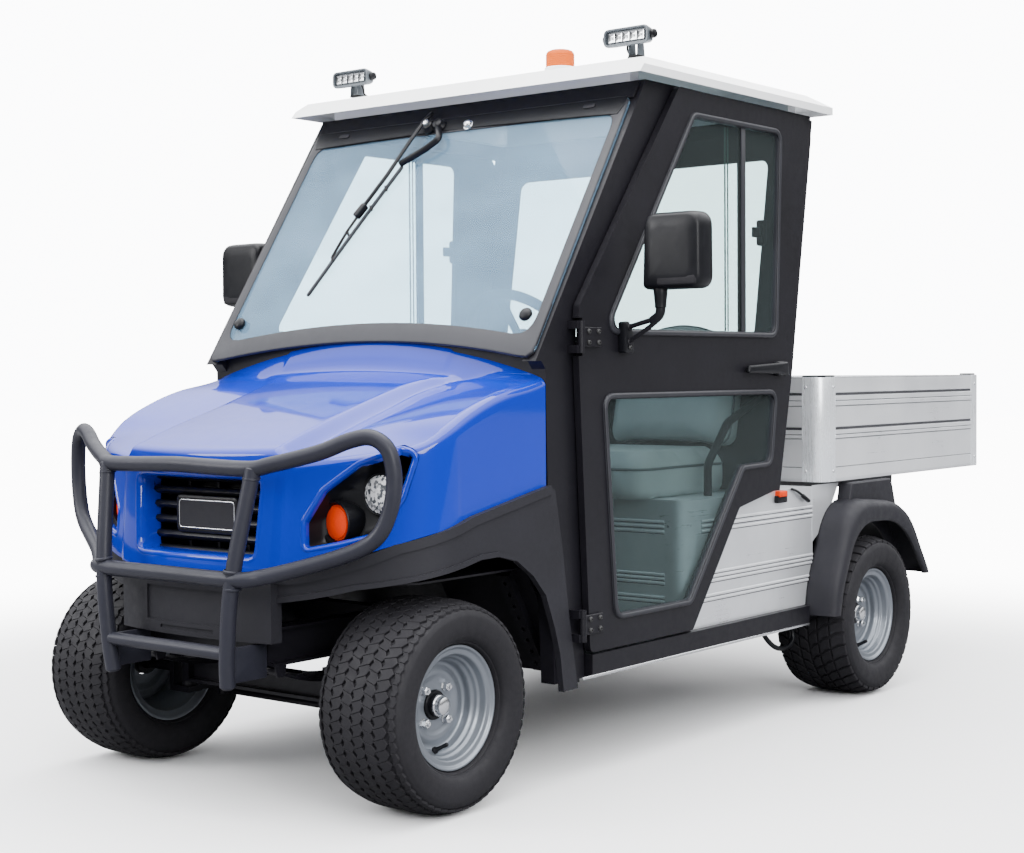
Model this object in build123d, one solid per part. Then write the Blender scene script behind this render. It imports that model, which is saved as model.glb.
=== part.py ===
from build123d import *
import os
from math import hypot

# Small utility vehicle with a closed two-seat cab and a tilting aluminium load bed.
# Millimetres. +Z is up, the vehicle faces -Y and its left side is +X.
# While it is built, y = 0 is the front axle and z = 0 the ground. At export everything moves
# along Y, so that the origin is on the ground under the middle of the vehicle.

# ---- driving dimensions ----
bed_front_y = 1722.0           # front wall of the load bed
wheelbase = bed_front_y + 232.0  # the rear axle sits under the bed
tyre_radius = 252.0
tyre_width = 250.0
front_wheel_x = 498.0          # wheel centre to the middle plane
rear_wheel_x = 579.0
rim_lip_radius = 147.0
bead_radius = 128.0
rim_width = 192.0
disc_offset = 22.0             # wheel disc outboard of the wheel's centre plane
spindle_radius = 16.0
hub_radius = 36.0
kingpin_x = 338.0
kingpin_radius = 12.0
steer_arm = 120.0              # kingpin to tie rod, straight back
tie_rod_radius = 9.0
rear_axle_r = 32.0

rail_x = 215.0                 # centre of each frame rail
rail_width = 50.0
rail_height = 90.0
rail_sheet = 6.0
rail_front_y = -238.0
rail_rear_y = bed_front_y + 838.0
rail_front_z = 390.0
rail_cab_z = 290.0
rail_rear_z = 480.0

tow_reach = 70.0               # rear end of the rails to the tow pin
tow_width = 100.0
tow_thick = 12.0
tow_z = 396.0
tow_pin_r = 10.0

cab_half = 600.0               # outer face of the cab's posts

cowl_half = cab_half           # the painted cowl is as wide as the cab
cowl_nose = 288.0              # how far the nose bulges ahead of its own sides
cowl_side_y = 20.0             # where the straight sides start
cowl_rear_y = 345.0
cowl_wall = 4.0
cowl_front_y = -240.0          # front face under the bonnet's edge
bonnet_half = 250.0            # half width of the raised middle panel
bonnet_bevel = 35.0            # sloping band between the panel and the wings
bonnet_lines = [               # heights at (y, middle, panel edge, wing, shoulder)
    (349.0, 1110.0, 1092.0, 1085.0, 1014.0),
    (292.0, 1036.0, 1029.0, 1003.0, 1006.0),
    (100.0, 974.0, 967.0, 938.0, 958.0),
    (-60.0, 924.0, 916.0, 885.0, 878.0),
    (-240.0, 864.0, 858.0, 824.0, 788.0),
    (-400.0, 804.0, 798.0, 764.0, 700.0),
]
skirt_wall = 12.0
skirt_gap = 0.4                # cowl to skirt
skirt_rear_y = 457.0
skirt_lip = 5.0                # how far the rolled edges stand proud
skirt_lip_width = 22.0
bumper_half = 266.0
bumper_reach = 22.0            # bumper ahead of the skirts

post_depth = 42.0              # posts' size across the vehicle
door_gap = 6.0
door_thick = 19.0
door_low_z = 318.0
hinge_y = 452.0
hinge_reach = 7.0              # hinge axis outboard of the door's face
hinge_r = 9.0
hinge_pin_r = 5.0
hinge_heights = (392.0, 1120.0)
hinge_half = 20.0              # half height of the door's own knuckle
window_corner = 26.0
bead_width = 15.0              # rubber bead round each door window
bead_height = 5.0
glass_thick = 5.0
sill_top_z = 311.0
sill_low_z = 252.0
sill_outer = cab_half + 22.0
sill_inner = cab_half - post_depth
sill_rear_y = bed_front_y - 82.0
floor_z = 336.0
floor_sheet = 6.0
liner_sheet = 5.0

screen_low_y = 302.0           # foot of the windscreen at its corners
screen_low_z = 1066.0
screen_top_y = 756.0
screen_top_z = 1763.0
screen_half = cab_half - 12.0
screen_arch = 62.0             # how much higher the screen's lower edge is at the middle
screen_thick = 6.0

cab_top_z = 1808.0
roof_half = cab_half + 45.0
roof_front_y = 700.0
roof_rear_y = 1750.0
roof_edge_z = 1814.0
roof_crown_z = 1900.0
roof_wall = 5.0
beacon_top_z = 2016.0

seat_box_half = cab_half
seat_box_front_y = 985.0
seat_box_rear_y = bed_front_y - 22.0
seat_box_top_z = 672.0
seat_box_wall = 6.0
seat_box_corner = 50.0
cushion_top_z = 800.0
cushion_half = seat_box_half - 80.0
cushion_corner = 60.0

column_x = 300.0
column_y = 622.0               # top of the steering column
column_z = 1095.0
column_run = 140.0             # the column leans back this much
column_rise = 110.0            # for this much height

bed_half = 627.0
bed_length = 1144.0
bed_low_z = 683.0
bed_top_z = 1010.0
bed_wall = 24.0
bed_floor = 16.0
bed_corner = 45.0
bed_post_reach = 75.0           # how far the corner posts run along the walls
plank_inset = 3.0              # planks inside the posts' outer faces
bed_pivot_y = bed_front_y + 728.0
bed_pivot_z = 575.0
bed_pin_r = 12.0
bed_post = 45.0                # rear posts' width, either side of the tailgate
tailgate_gap = 6.0
tailgate_thick = 26.0
tailgate_pin_r = 7.0
tail_lamp_depth = 8.0

fender_outer = 705.0
fender_wall = 6.0

bar_radius = 19.0              # bull bar tube
bar_front_y = -366.0

bed_rear_y = bed_front_y + bed_length
front_limit = bar_front_y - bar_radius
rear_limit = bed_rear_y + tail_lamp_depth
middle_y = (front_limit + rear_limit) / 2
seat_fit = 0.3                 # gap between pieces that sit on one another


# ---- shape helpers ----
def box(x_low, x_high, y_low, y_high, z_low, z_high):
    size = (x_high - x_low, y_high - y_low, z_high - z_low)
    centre = ((x_low + x_high) / 2, (y_low + y_high) / 2, (z_low + z_high) / 2)
    return Pos(*centre) * Box(*size)


def outline(points, corner=0.0):
    face = make_face(Polyline(*points, close=True))
    if corner:
        face = fillet(face.vertices(), corner)
    return face


def side_plate(points, x_low, x_high, corner=0.0):
    """Plate whose outline is given as (y, z), between two x values."""
    return extrude(Plane.YZ.offset(x_low) * outline(points, corner), amount=x_high - x_low)


def front_plate(points, y_low, y_high, corner=0.0):
    """Plate whose outline is given as (x, z), between two y values."""
    return extrude(Plane.XZ.offset(-y_high) * outline(points, corner), amount=y_high - y_low)


def offset_line(points, distance):
    """The open polyline moved sideways, with mitred corners."""
    moved = []
    for i, (u, v) in enumerate(points):
        before = points[max(i - 1, 0)]
        after = points[min(i + 1, len(points) - 1)]
        normals = []
        for start, end in ((before, (u, v)), ((u, v), after)):
            run = hypot(end[0] - start[0], end[1] - start[1])
            if run:
                normals.append((-(end[1] - start[1]) / run, (end[0] - start[0]) / run))
        nu = sum(n[0] for n in normals) / len(normals)
        nv = sum(n[1] for n in normals) / len(normals)
        scale = distance / (nu * nu + nv * nv)
        moved.append((u + nu * scale, v + nv * scale))
    return moved


def band(points, width):
    """Outline of a strip of even width along a polyline."""
    return offset_line(points, width / 2) + offset_line(points, -width / 2)[::-1]


def rod(start, end, radius):
    path = Line(start, end)
    return sweep(Plane(origin=start, z_dir=path % 0) * Circle(radius), path=path)


def tube(points, radius, bend):
    path = FilletPolyline(*points, radius=bend)
    return sweep(Plane(origin=points[0], z_dir=path % 0) * Circle(radius), path=path)


def turned(points):
    """Solid turned about the X axis from (x, radius) points."""
    return revolve(Plane.XZ * outline(points), Axis.X)


def mirrored(shape):
    return mirror(shape, about=Plane.YZ)


def both(shape):
    return shape + mirrored(shape)


# ---- wheels, axles and steering ----
def tyre():
    half = tyre_width / 2
    bead = rim_width / 2 - 10
    r = tyre_radius
    profile = [(half * 0.5, r), (half * 0.84, r - 9), (half * 0.96, r - 28), (half, r - 58),
               (half * 0.96, r - 84), (bead, r - 100), (bead, bead_radius)]
    return turned(profile + [(-x, radius) for x, radius in reversed(profile)])


def rim():
    """Steel wheel: dropped-centre barrel, dished disc and hub with its grease cap."""
    half = rim_width / 2
    seat = bead_radius - 0.2
    flange = half - 8.2
    well = 108.0
    outer = [(half, rim_lip_radius), (half - 5, rim_lip_radius), (flange, rim_lip_radius - 6),
             (flange - 1, seat), (58, seat - 3), (46, well)]
    inner = [(42, well - 4), (55, seat - 8), (half - 6, seat - 5), (half, rim_lip_radius - 3)]
    barrel = turned(outer + [(-x, radius) for x, radius in reversed(outer)]
                    + [(-x, radius) for x, radius in reversed(inner)] + inner)
    disc = turned([(disc_offset, well - 3), (disc_offset + 12, 70), (disc_offset + 4, hub_radius - 2),
                   (disc_offset - 3, hub_radius - 2), (disc_offset + 5, 72), (disc_offset - 7, well - 3)])
    hub = turned([(-30, spindle_radius + seat_fit), (-30, hub_radius), (disc_offset + 8, hub_radius),
                  (disc_offset + 10, 27), (disc_offset + 40, 23), (disc_offset + 44, 0), (disc_offset + 30, 0),
                  (disc_offset + 30, spindle_radius + seat_fit)])
    return barrel + disc + hub


def knuckle():
    """Left steering knuckle: fork round the kingpin, spindle and steering arm."""
    z = tyre_radius
    ears = [box(kingpin_x - 24, kingpin_x + 50, -24, 24, z + side * 54 - 8, z + side * 54 + 8)
            for side in (-1, 1)]
    back = box(kingpin_x + 34, kingpin_x + 50, -24, 24, z - 62, z + 62)
    pin = Pos(kingpin_x, 0, z) * Cylinder(kingpin_radius, 124)
    spindle = rod((kingpin_x + 50, 0, z), (front_wheel_x + disc_offset + 28, 0, z), spindle_radius)
    arm = box(kingpin_x - 14, kingpin_x + 14, 0, steer_arm + 14, z - 62, z - 50)
    stud = Pos(kingpin_x, steer_arm, z - 71) * Cylinder(7, 24)
    return ears[0] + ears[1] + back + pin + spindle + arm + stud


def tie_rod():
    z = tyre_radius - 76
    bar = rod((-kingpin_x, steer_arm, z), (kingpin_x, steer_arm, z), tie_rod_radius)
    for side in (-1, 1):
        bar += Pos(side * kingpin_x, steer_arm, z) * Cylinder(15, 20)
    for side in (-1, 1):
        bar -= Pos(side * kingpin_x, steer_arm, z) * Cylinder(7 + seat_fit, 30)
    return bar


def front_axle():
    z = tyre_radius
    beam = box(-kingpin_x + 12, kingpin_x - 12, -28, 28, z - 30, z + 30)
    beam -= box(-kingpin_x + 30, kingpin_x - 30, -34, -10, z - 22, z + 22)
    beam -= box(-kingpin_x + 30, kingpin_x - 30, 10, 34, z - 22, z + 22)
    for side in (-1, 1):
        beam += Pos(side * kingpin_x, 0, z) * Cylinder(20, 90)
        beam -= Pos(side * kingpin_x, 0, z) * Cylinder(kingpin_radius + seat_fit, 100)
    return beam


def rear_axle():
    end_x = rear_wheel_x + disc_offset + 28
    axle = rod((-rear_wheel_x + 34, 0, 0), (rear_wheel_x - 34, 0, 0), rear_axle_r)
    axle += rod((-end_x, 0, 0), (end_x, 0, 0), spindle_radius)
    axle += box(-120, 120, -120, 130, -80, 100)
    return Pos(0, wheelbase, tyre_radius) * axle


def leaf_springs():
    """Four springs, each of three curved leaves with a clamp, under the rails."""
    leaf = 7.0
    springs = []
    axles = [(0.0, rail_front_z, 30, 226.0), (wheelbase, rail_rear_z, rear_axle_r, 290.0)]
    for axle_y, rail_z, pad, span in axles:
        seat_z = tyre_radius + pad + leaf + seat_fit
        eye_z = rail_z - rail_height / 2 - 12 if axle_y == 0 else seat_z + 48
        for i, reach in enumerate((span, 0.72 * span, 0.45 * span)):
            rise = (eye_z - seat_z) * (reach / span) ** 2
            low = seat_z + i * leaf
            curve = ThreePointArc((-reach, low + rise), (0, low), (reach, low + rise))
            lower = ThreePointArc((reach, low + rise - leaf), (0, low - leaf), (-reach, low + rise - leaf))
            ends = Line(curve @ 1, lower @ 0) + Line(lower @ 1, curve @ 0)
            face = make_face(curve + lower + ends)
            blade = extrude(Plane.YZ.offset(rail_x - 22) * face, amount=44)
            springs.append(Pos(0, axle_y, 0) * blade)
        clamp = box(rail_x - 26, rail_x + 26, axle_y - 30, axle_y + 30, seat_z - leaf, seat_z + 3 * leaf)
        springs.append(clamp)
        for end in (-1, 1):
            y = axle_y + end * (span - 6)
            eye = rod((rail_x - 22, y, eye_z), (rail_x + 22, y, eye_z), 11)
            hanger = side_plate([(y - 18, rail_z - rail_height / 2), (y - 12, eye_z - 14), (y + 12, eye_z - 14),
                                 (y + 18, rail_z - rail_height / 2)], rail_x + 22, rail_x + 28)
            springs.append(eye)
            springs.append(hanger)
            springs.append(hanger.moved(Location((-50, 0, 0))))
    one_side = springs[0]
    for piece in springs[1:]:
        one_side += piece
    return both(one_side)


def chassis_frame():
    """Two dropped rails, the crossmembers and outriggers between them, and the tow plate."""
    path = [(rail_front_y, rail_front_z), (330, rail_front_z), (470, rail_cab_z), (1440, rail_cab_z),
            (1590, rail_rear_z), (rail_rear_y, rail_rear_z)]
    rail = side_plate(band(path, rail_height), rail_x - rail_sheet / 2, rail_x + rail_sheet / 2)
    for edge in (-1, 1):
        flange = offset_line(path, edge * (rail_height - rail_sheet) / 2)
        rail += side_plate(band(flange, rail_sheet), rail_x - rail_width / 2, rail_x + rail_width / 2)
    pivot = box(rail_x - 25, rail_x - 13, bed_pivot_y - 30, bed_pivot_y + 30,
                rail_rear_z + rail_height / 2 - 4, bed_pivot_z + 26)
    pin_line = [(rail_x + end * 60, bed_pivot_y, bed_pivot_z) for end in (-1, 1)]
    pivot -= rod(*pin_line, bed_pin_r + seat_fit)
    frame = both(rail + pivot)
    reach = rail_x - rail_sheet / 2 - seat_fit
    middles = [(rail_front_y + 40, rail_front_z), (300, rail_front_z), (1380, rail_cab_z)]
    for y, z in middles + [(rail_rear_y - 360, rail_rear_z)]:
        frame += box(-reach, reach, y - 25, y + 25, z - 28, z + 28)
    frame += box(-reach, reach, rail_rear_y - 65, rail_rear_y - 15, rail_rear_z - 28, rail_rear_z + 28)
    frame += tow_plate()
    start = rail_x + rail_sheet / 2 + seat_fit
    end = sill_inner - 7
    for y in (640, 1380):
        frame += both(box(start, end, y - 25, y + 25, sill_low_z + 6, rail_cab_z + 6))
    frame += both(box(start, end, 500, 530, 262, 296) + box(end - 30, end, 490, 546, 228, 322))
    return frame


def tow_plate():
    """Drawbar plate under the rear crossmember, on two gussets."""
    pin_y = rail_rear_y + tow_reach
    half = tow_width / 2
    plate = box(-half, half, rail_rear_y - 65, pin_y, tow_z, tow_z + tow_thick)
    plate += Pos(0, pin_y, tow_z + tow_thick / 2) * Cylinder(half, tow_thick)
    for x in (-half, half - tow_thick):
        plate += side_plate([(rail_rear_y - 65, tow_z), (pin_y - 30, tow_z), (rail_rear_y - 15, rail_rear_z - 10),
                             (rail_rear_y - 65, rail_rear_z - 10)], x, x + tow_thick)
    return plate - Pos(0, pin_y, tow_z) * Cylinder(tow_pin_r, 4 * tow_thick)


# ---- bodywork ----
def nose_plan(inset):
    """Plan of the nose: half an ellipse ahead of straight sides."""
    half = cowl_half - inset
    rear = cowl_rear_y + 200
    arc = EllipticalCenterArc((0, cowl_side_y), half, cowl_nose - inset, start_angle=180, arc_size=180)
    sides = Polyline((half, cowl_side_y), (half, rear), (-half, rear), (-half, cowl_side_y))
    return make_face(arc + sides)


def skirt_line():
    """Seam between painted cowl and skirt, as (y, z) from front to rear."""
    return [(-300, 560), (-250, 566), (-137, 640), (47, 696), (300, 744), (351, 752)]


def bonnet_section(line, inset):
    """Closed section of the cowl across the vehicle, with its raised middle panel."""
    y, middle_z, panel_z, wing_z, shoulder_z = line
    half = cowl_half + 20
    tops = [(bonnet_half, panel_z - inset), (bonnet_half + bonnet_bevel, wing_z - inset),
            (half, shoulder_z - inset), (half, 300)]
    other = [(-x, z) for x, z in reversed(tops)]
    middle = ThreePointArc(other[-1], (0, middle_z - inset), tops[0])
    ring = middle + Polyline(*tops) + Line(tops[-1], other[0]) + Polyline(*other)
    return Plane.XZ.offset(-y) * make_face(ring)


def cowl_form(inset):
    form = extrude(nose_plan(inset), amount=1300)
    nose_z = bonnet_lines[-2][1]
    side = [(y, z - 24) for y, z in skirt_line()]
    side += [(cowl_rear_y + inset, 750), (cowl_rear_y + inset, 1130)]
    side += [(cowl_front_y + 15, nose_z + 2 - inset), (cowl_front_y + inset, nose_z - 26 - inset),
             (cowl_front_y - 36 + inset, 560)]
    form &= side_plate(side, -700, 700)
    return form & loft([bonnet_section(line, inset) for line in bonnet_lines], ruled=True)


lamp_hole = [(330, 648), (346, 757), (530, 862), (566, 820), (520, 664)]
grille_hole = (-200.0, 200.0, 592.0, 790.0)
grille_slats = 6


def cowl():
    shell = cowl_form(0) - cowl_form(cowl_wall).moved(Location((0, 0, -0.01)))
    shell -= front_plate(square_ring(grille_hole, 0), -500, -120, 12)
    shell -= both(front_plate(lamp_hole, -500, 40, 16))
    return shell


def grille():
    """Louvred grille with a frame that lies against the inside of the cowl."""
    x_low, x_high, z_low, z_high = grille_hole
    y_back = -cowl_nose + cowl_side_y + 64
    seat = cowl_form(cowl_wall + seat_fit)
    flange = (seat - cowl_form(cowl_wall + 6)) & front_plate(square_ring(grille_hole, 12), -400, y_back, 14)
    ring = flange + (seat & front_plate(square_ring(grille_hole, -1), -400, y_back, 8))
    ring -= front_plate(square_ring(grille_hole, -10), -400, y_back - 6, 4)
    pitch = (z_high - z_low - 20) / grille_slats
    for i in range(grille_slats):
        z = z_low + 10 + pitch * (i + 0.5)
        ring += side_plate([(y_back - 28, z + 9), (y_back - 28, z + 3), (y_back - 4, z - 13),
                            (y_back - 4, z - 7)], x_low + 9, x_high - 9)
    return ring


def square_ring(hole, grow):
    x_low, x_high, z_low, z_high = hole
    return [(x_low - grow, z_low - grow), (x_low - grow, z_high + grow), (x_high + grow, z_high + grow),
            (x_high + grow, z_low - grow)]


def lamp_housings():
    pan = cowl_form(cowl_wall + seat_fit) & front_plate(offset_ring(lamp_hole, 8), -400, -40, 14)
    return both(pan - front_plate(offset_ring(lamp_hole, 2), -500, -46, 12))


def offset_ring(points, distance):
    """The closed outline grown outwards; points run clockwise as seen from the front."""
    count = len(points)
    ring = []
    for i in range(count):
        line = [points[i - 1], points[i], points[(i + 1) % count]]
        ring.append(offset_line(line, distance)[1])
    return ring


def front_lamps():
    lamps = []
    for x, y_front, z, radius in ((474, -92, 752, 40), (384, -150, 697, 38)):
        lamps.append(rod((x, y_front, z), (x, -46 - seat_fit, z), radius))
    return both(lamps[0] + lamps[1])


def front_skirt():
    """Bumper and front fender skirts in one moulding, with the wheel arches cut."""
    outer = Pos(0, 0, 100) * extrude(nose_plan(-skirt_wall - skirt_gap), amount=800)
    proud = Pos(0, 0, 100) * extrude(nose_plan(-skirt_wall - skirt_gap - skirt_lip), amount=800)
    inner = extrude(nose_plan(-skirt_gap), amount=1000)
    arch = [(390, 232), (376, 329), (354, 399), (319, 483), (269, 536), (207, 577), (138, 594), (72, 593),
            (-13, 576), (-126, 550), (-186, 536), (-310, 470)]
    top = skirt_line()[:-1] + [(345, 752)]
    rear = [(366, 738), (394, 596), (422, 413), (skirt_rear_y, 232)]
    side = side_plate(top + rear + arch, -700, 700)
    edges = side_plate(band(offset_line(top, -skirt_lip_width / 2), skirt_lip_width), -700, 700)
    edges += side_plate(band(offset_line(arch, -6), 12), -700, 700)
    skirt = (outer - inner) & side
    skirt += (proud - inner) & side & edges
    # the bumper stands ahead of the nose between the bull bar's uprights
    forward = Location((0, -bumper_reach, 0))
    half = bumper_half
    bumper = (outer & box(-half, half, -400, -150, 405, 562)).moved(forward)
    bumper -= (inner & box(12 - half, half - 12, -400, -100, 412, 552)).moved(forward)
    bumper -= bumper_recess()
    return skirt + (bumper - inner)


def bumper_recess():
    """Shallow pressed panel in the bumper's face, with a slot under it."""
    face = Pos(0, 0, 300) * extrude(nose_plan(-skirt_wall - skirt_gap + 4), amount=300)
    cutter = box(-150, 150, -500, -150, 436, 520) + box(-95, 95, -500, -150, 418, 426)
    return cutter - face.moved(Location((0, -bumper_reach, 0)))


def bull_bar():
    top_z, mid_z, low_z = 820.0, 562.0, 389.0
    hoop = [(0, -326, top_z), (272, -316, top_z), (512, -196, 906), (566, -190, 872), (568, -196, 640),
            (232, bar_front_y, mid_z), (0, bar_front_y, mid_z)]
    half = tube(hoop, bar_radius, 42)
    upright = tube([(264, -318, top_z), (229, bar_front_y, mid_z), (211, bar_front_y, low_z),
                    (205, bar_front_y + 10, 300)], bar_radius, 60)
    bar = both(half) + both(upright)
    bar += rod((-211, bar_front_y, low_z), (211, bar_front_y, low_z), bar_radius - 3)
    foot = box(rail_x - 12, rail_x, bar_front_y + 8, rail_front_y - seat_fit, 318, 400)
    return bar + both(foot)


def at_rear_axle(*points):
    """Outline from (y, z) points whose y is counted from the rear axle."""
    return outline([(wheelbase + y, z) for y, z in points])


def arch_face(front, top_front, top_rear, rear, low_z, corner):
    """Wheel arch seen from the side: four (y, z) corners, y from the rear axle, drawn down to low_z."""
    face = at_rear_axle((front, low_z), top_front, top_rear, (rear, 354), (rear, low_z))
    corners = [(wheelbase + top_front[0], top_front[1]), (wheelbase + top_rear[0], top_rear[1])]
    return soft_corners(face, corners, corner)


def rear_fenders():
    """Flared wheel arches: a shell with its outer face open round the tyre, and a body under the bed."""
    whole = arch_face(-307, (-164, 636), (211, 604), 368, 281, 70)
    hollow = arch_face(-299, (-159, 629), (207, 597), 358, 275, 64)
    opening = arch_face(-278, (-158, 562), (166, 552), 308, 265, 90)
    start = seat_box_half + seat_fit
    shell = prism(whole, start, fender_outer) - prism(hollow, start - 1, fender_outer - fender_wall)
    shell -= prism(opening, start - 1, fender_outer + 1)
    behind = at_rear_axle((308, 200), (308, 354), (446, 354), (446, 200))
    shell -= prism(behind, start - 1, fender_outer + 1)
    web = prism(whole, start, start + fender_wall) - prism(opening, start - 1, fender_outer + 1)
    web &= prism(at_rear_axle((-354, 354), (-354, 700), (308, 700), (308, 354)), 500, 800)
    body = prism(at_rear_axle((-242, 620), (-250, 676), (174, 676), (206, 590)), start, start + 44)
    body -= prism(at_rear_axle((-254, 500), (-164, 629), (201, 597), (246, 500)), start - 1, start + 50)
    return both(shell + web + body)


def prism(face, x_low, x_high):
    """A (y, z) face drawn out between two x values."""
    return extrude(Plane.YZ.offset(x_low) * face, amount=x_high - x_low)


def soft_corners(face, corners, radius):
    for corner in corners:
        vertex = face.vertices().sort_by_distance(Vector(*corner, 0))[0]
        face = fillet(vertex, radius)
    return face


# ---- cab ----
def door_outline():
    return [(493, door_low_z), (446, 1140), (455, 1200), (918, 1802), (1600, 1794), (1650, 1740),
            (1533, 1050), (1455, 682), (1226, 640), (976, door_low_z)]


upper_window = [(577, 1142), (990, 1726), (1450, 1728), (1424, 1142)]
lower_window = [(612, 404), (566, 962), (1420, 962), (1392, 764), (1236, 760), (956, 404)]


def door():
    x_low = cab_half + door_gap
    x_high = x_low + door_thick
    skin = side_plate(door_outline(), x_low, x_high, 18)
    for window in (upper_window, lower_window):
        skin += side_plate(offset_ring(window, bead_width), x_high - 1, x_high + bead_height,
                           window_corner + bead_width)
        skin -= side_plate(window, x_low - 5, x_high + 10, window_corner)
    # runner between the sliding panes
    skin += side_plate([(1244, 1140), (1244, 1730), (1266, 1730), (1266, 1140)], x_low + 2, x_low + 16)
    skin -= box(x_low + 5.5, x_low + 13, 1230, 1280, 1135, 1735)
    for z in hinge_heights:
        pocket = 2 * hinge_half + 8
        skin -= box(x_low - 5, x_high + 10, 0, hinge_y + 14, z - pocket, z + pocket)
        knuckle_ring = Pos(x_high + hinge_reach, hinge_y, z) * Cylinder(hinge_r, 2 * hinge_half)
        leaf = box(x_high, x_high + hinge_reach, hinge_y + 3, hinge_y + 90, z - hinge_half, z + hinge_half)
        skin += knuckle_ring + leaf
        skin -= Pos(x_high + hinge_reach, hinge_y, z) * Cylinder(hinge_pin_r + seat_fit, 2 * hinge_half + 2)
    return skin + door_handle(x_high)


def door_handle(x_face):
    """Lever on a boss, lying along the door."""
    boss = box(x_face - 1, x_face + 16, 1420, 1466, 1018, 1056)
    lever = side_plate([(1246, 1026), (1252, 1044), (1420, 1052), (1470, 1050), (1470, 1022), (1420, 1024)],
                       x_face + 9, x_face + 22, 6)
    return boss + lever


def door_glass():
    x_low = cab_half + door_gap + 7
    panes = []
    for window in (upper_window, lower_window):
        panes.append(side_plate(window, x_low, x_low + glass_thick, window_corner))
    return panes[0] + panes[1]


def mirror_arm():
    x_low = cab_half + door_gap + door_thick
    bracket = box(x_low, x_low + 24, 622, 662, 1080, 1126)
    bracket += box(x_low + 10, x_low + 24, 622, 662, 1120, 1160)
    elbow = (780, 645, 1200)
    arms = rod((x_low + 20, 640, 1146), elbow, 7) + rod((x_low + 20, 640, 1112), elbow, 7)
    stem = rod((780, 645, 1196), (780, 645, 1244), 12)
    case = front_plate([(700, 1240), (700, 1436), (880, 1436), (880, 1240)], 612, 678, 28)
    case = fillet(case.faces().sort_by(Axis.Y)[0].edges(), 22)
    return bracket + arms + stem + case


def screen_y(z, depth):
    """Where a sheet that lies depth behind the windscreen's outer face is at height z."""
    run = screen_top_y - screen_low_y
    rise = screen_top_z - screen_low_z
    return screen_low_y + (z - screen_low_z) * run / rise + depth * hypot(run, rise) / rise


def cab_frame():
    x_low = cab_half - post_depth
    behind = screen_thick + seat_fit
    foot = [(374, sill_low_z), (352, 740), (cowl_rear_y + seat_fit, 1040)]
    foot += [(screen_y(1075, behind), 1075), (480, 1110), (500, sill_low_z)]
    slope = [(screen_y(1060, behind), 1060), (screen_y(cab_top_z, behind), cab_top_z)]
    slope += [(934, cab_top_z), (476, 1190), (470, 1060)]
    post = side_plate(foot, x_low, cab_half)
    pillar = side_plate(slope, x_low, cab_half)
    rail = side_plate(band([(790, 1786), (1690, 1786)], 44), x_low, cab_half)
    rear = side_plate(band(rear_post_line(), 60), x_low, cab_half)
    side = post + pillar + rail + rear
    axis_x = cab_half + door_gap + door_thick + hinge_reach
    for z in hinge_heights:
        for end in (-1, 1):
            z_low = z + end * (hinge_half + 10.5) - 10
            side += box(cab_half - 2, axis_x, hinge_y - 16, hinge_y - 7, z_low, z_low + 20)
            side += Pos(axis_x, hinge_y, z_low + 10) * Cylinder(hinge_r, 20)
        side += Pos(axis_x, hinge_y, z) * Cylinder(hinge_pin_r, 4 * hinge_half)
    side -= box(0, 700, 1300, 1900, 0, seat_box_top_z + seat_fit)
    frame = both(side)
    frame += box(-x_low, x_low, 790, 834, 1764, 1808)
    frame += box(-x_low, x_low, 1640, 1690, 1764, 1808)
    return frame + screen_sill()


def screen_sill():
    """Arched panel between the cowl and the foot of the windscreen."""
    inner = cab_half - post_depth
    low_z = 1010.0
    side_z = screen_low_z + 10
    arch = ThreePointArc((-inner, side_z), (0, side_z + screen_arch + 4), (inner, side_z))
    face = make_face(arch + Polyline(arch @ 1, (inner, low_z), (-inner, low_z), arch @ 0))
    depth = 46.0
    plate = extrude(Plane.XZ.offset(-cowl_rear_y - seat_fit - depth) * face, amount=depth)
    ahead = screen_plane(-screen_thick - seat_fit) * Pos(0, 0, 250) * Box(1500, 1500, 500)
    return plate - ahead


def rear_post_line():
    return [(1672, 1800), (1548, 1046), (1456, 620)]


def screen_plane(height):
    """Plane at a height above the windscreen's outer face: X across, Y up the slope, Z outwards."""
    run = screen_top_y - screen_low_y
    rise = screen_top_z - screen_low_z
    foot = Vector(0, screen_low_y, screen_low_z)
    outwards = Vector(0, -rise, run).normalized()
    return Plane(origin=foot + outwards * height, x_dir=(1, 0, 0), z_dir=outwards)


def screen_face():
    length = hypot(screen_top_y - screen_low_y, screen_top_z - screen_low_z)
    arch = ThreePointArc((-screen_half, 0), (0, screen_arch), (screen_half, 0))
    sides = Polyline(arch @ 1, (screen_half - 9, length), (-screen_half + 9, length), arch @ 0)
    face = make_face(arch + sides)
    return fillet(face.vertices(), 26)


def cab_glass():
    """Windscreen and rear window."""
    screen = screen_plane(-screen_thick) * extrude(screen_face(), amount=screen_thick)
    rear = rear_sheet(10, 15) & front_plate(rear_window_hole(-seat_fit), 1300, 1900, 30)
    return screen + rear


def rear_window_hole(grow):
    half = cab_half - 110 + grow
    return [(-half, 1130 - grow), (-half, 1680 + grow), (half, 1680 + grow), (half, 1130 - grow)]


def rear_sheet(start, end):
    """Sloping rear wall between two depths behind the rear posts' front faces."""
    line = offset_line(rear_post_line(), -30)
    front = offset_line(line, start)
    back = offset_line(line, end)
    half = cab_half - post_depth - seat_fit
    return side_plate(front + back[::-1], -half, half)


def rear_wall():
    wall = rear_sheet(4, 24) & box(-700, 700, 1300, 1900, seat_box_top_z + seat_fit, 1764 - seat_fit)
    wall -= front_plate(rear_window_hole(0), 1300, 1900, 30)
    return wall


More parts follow.
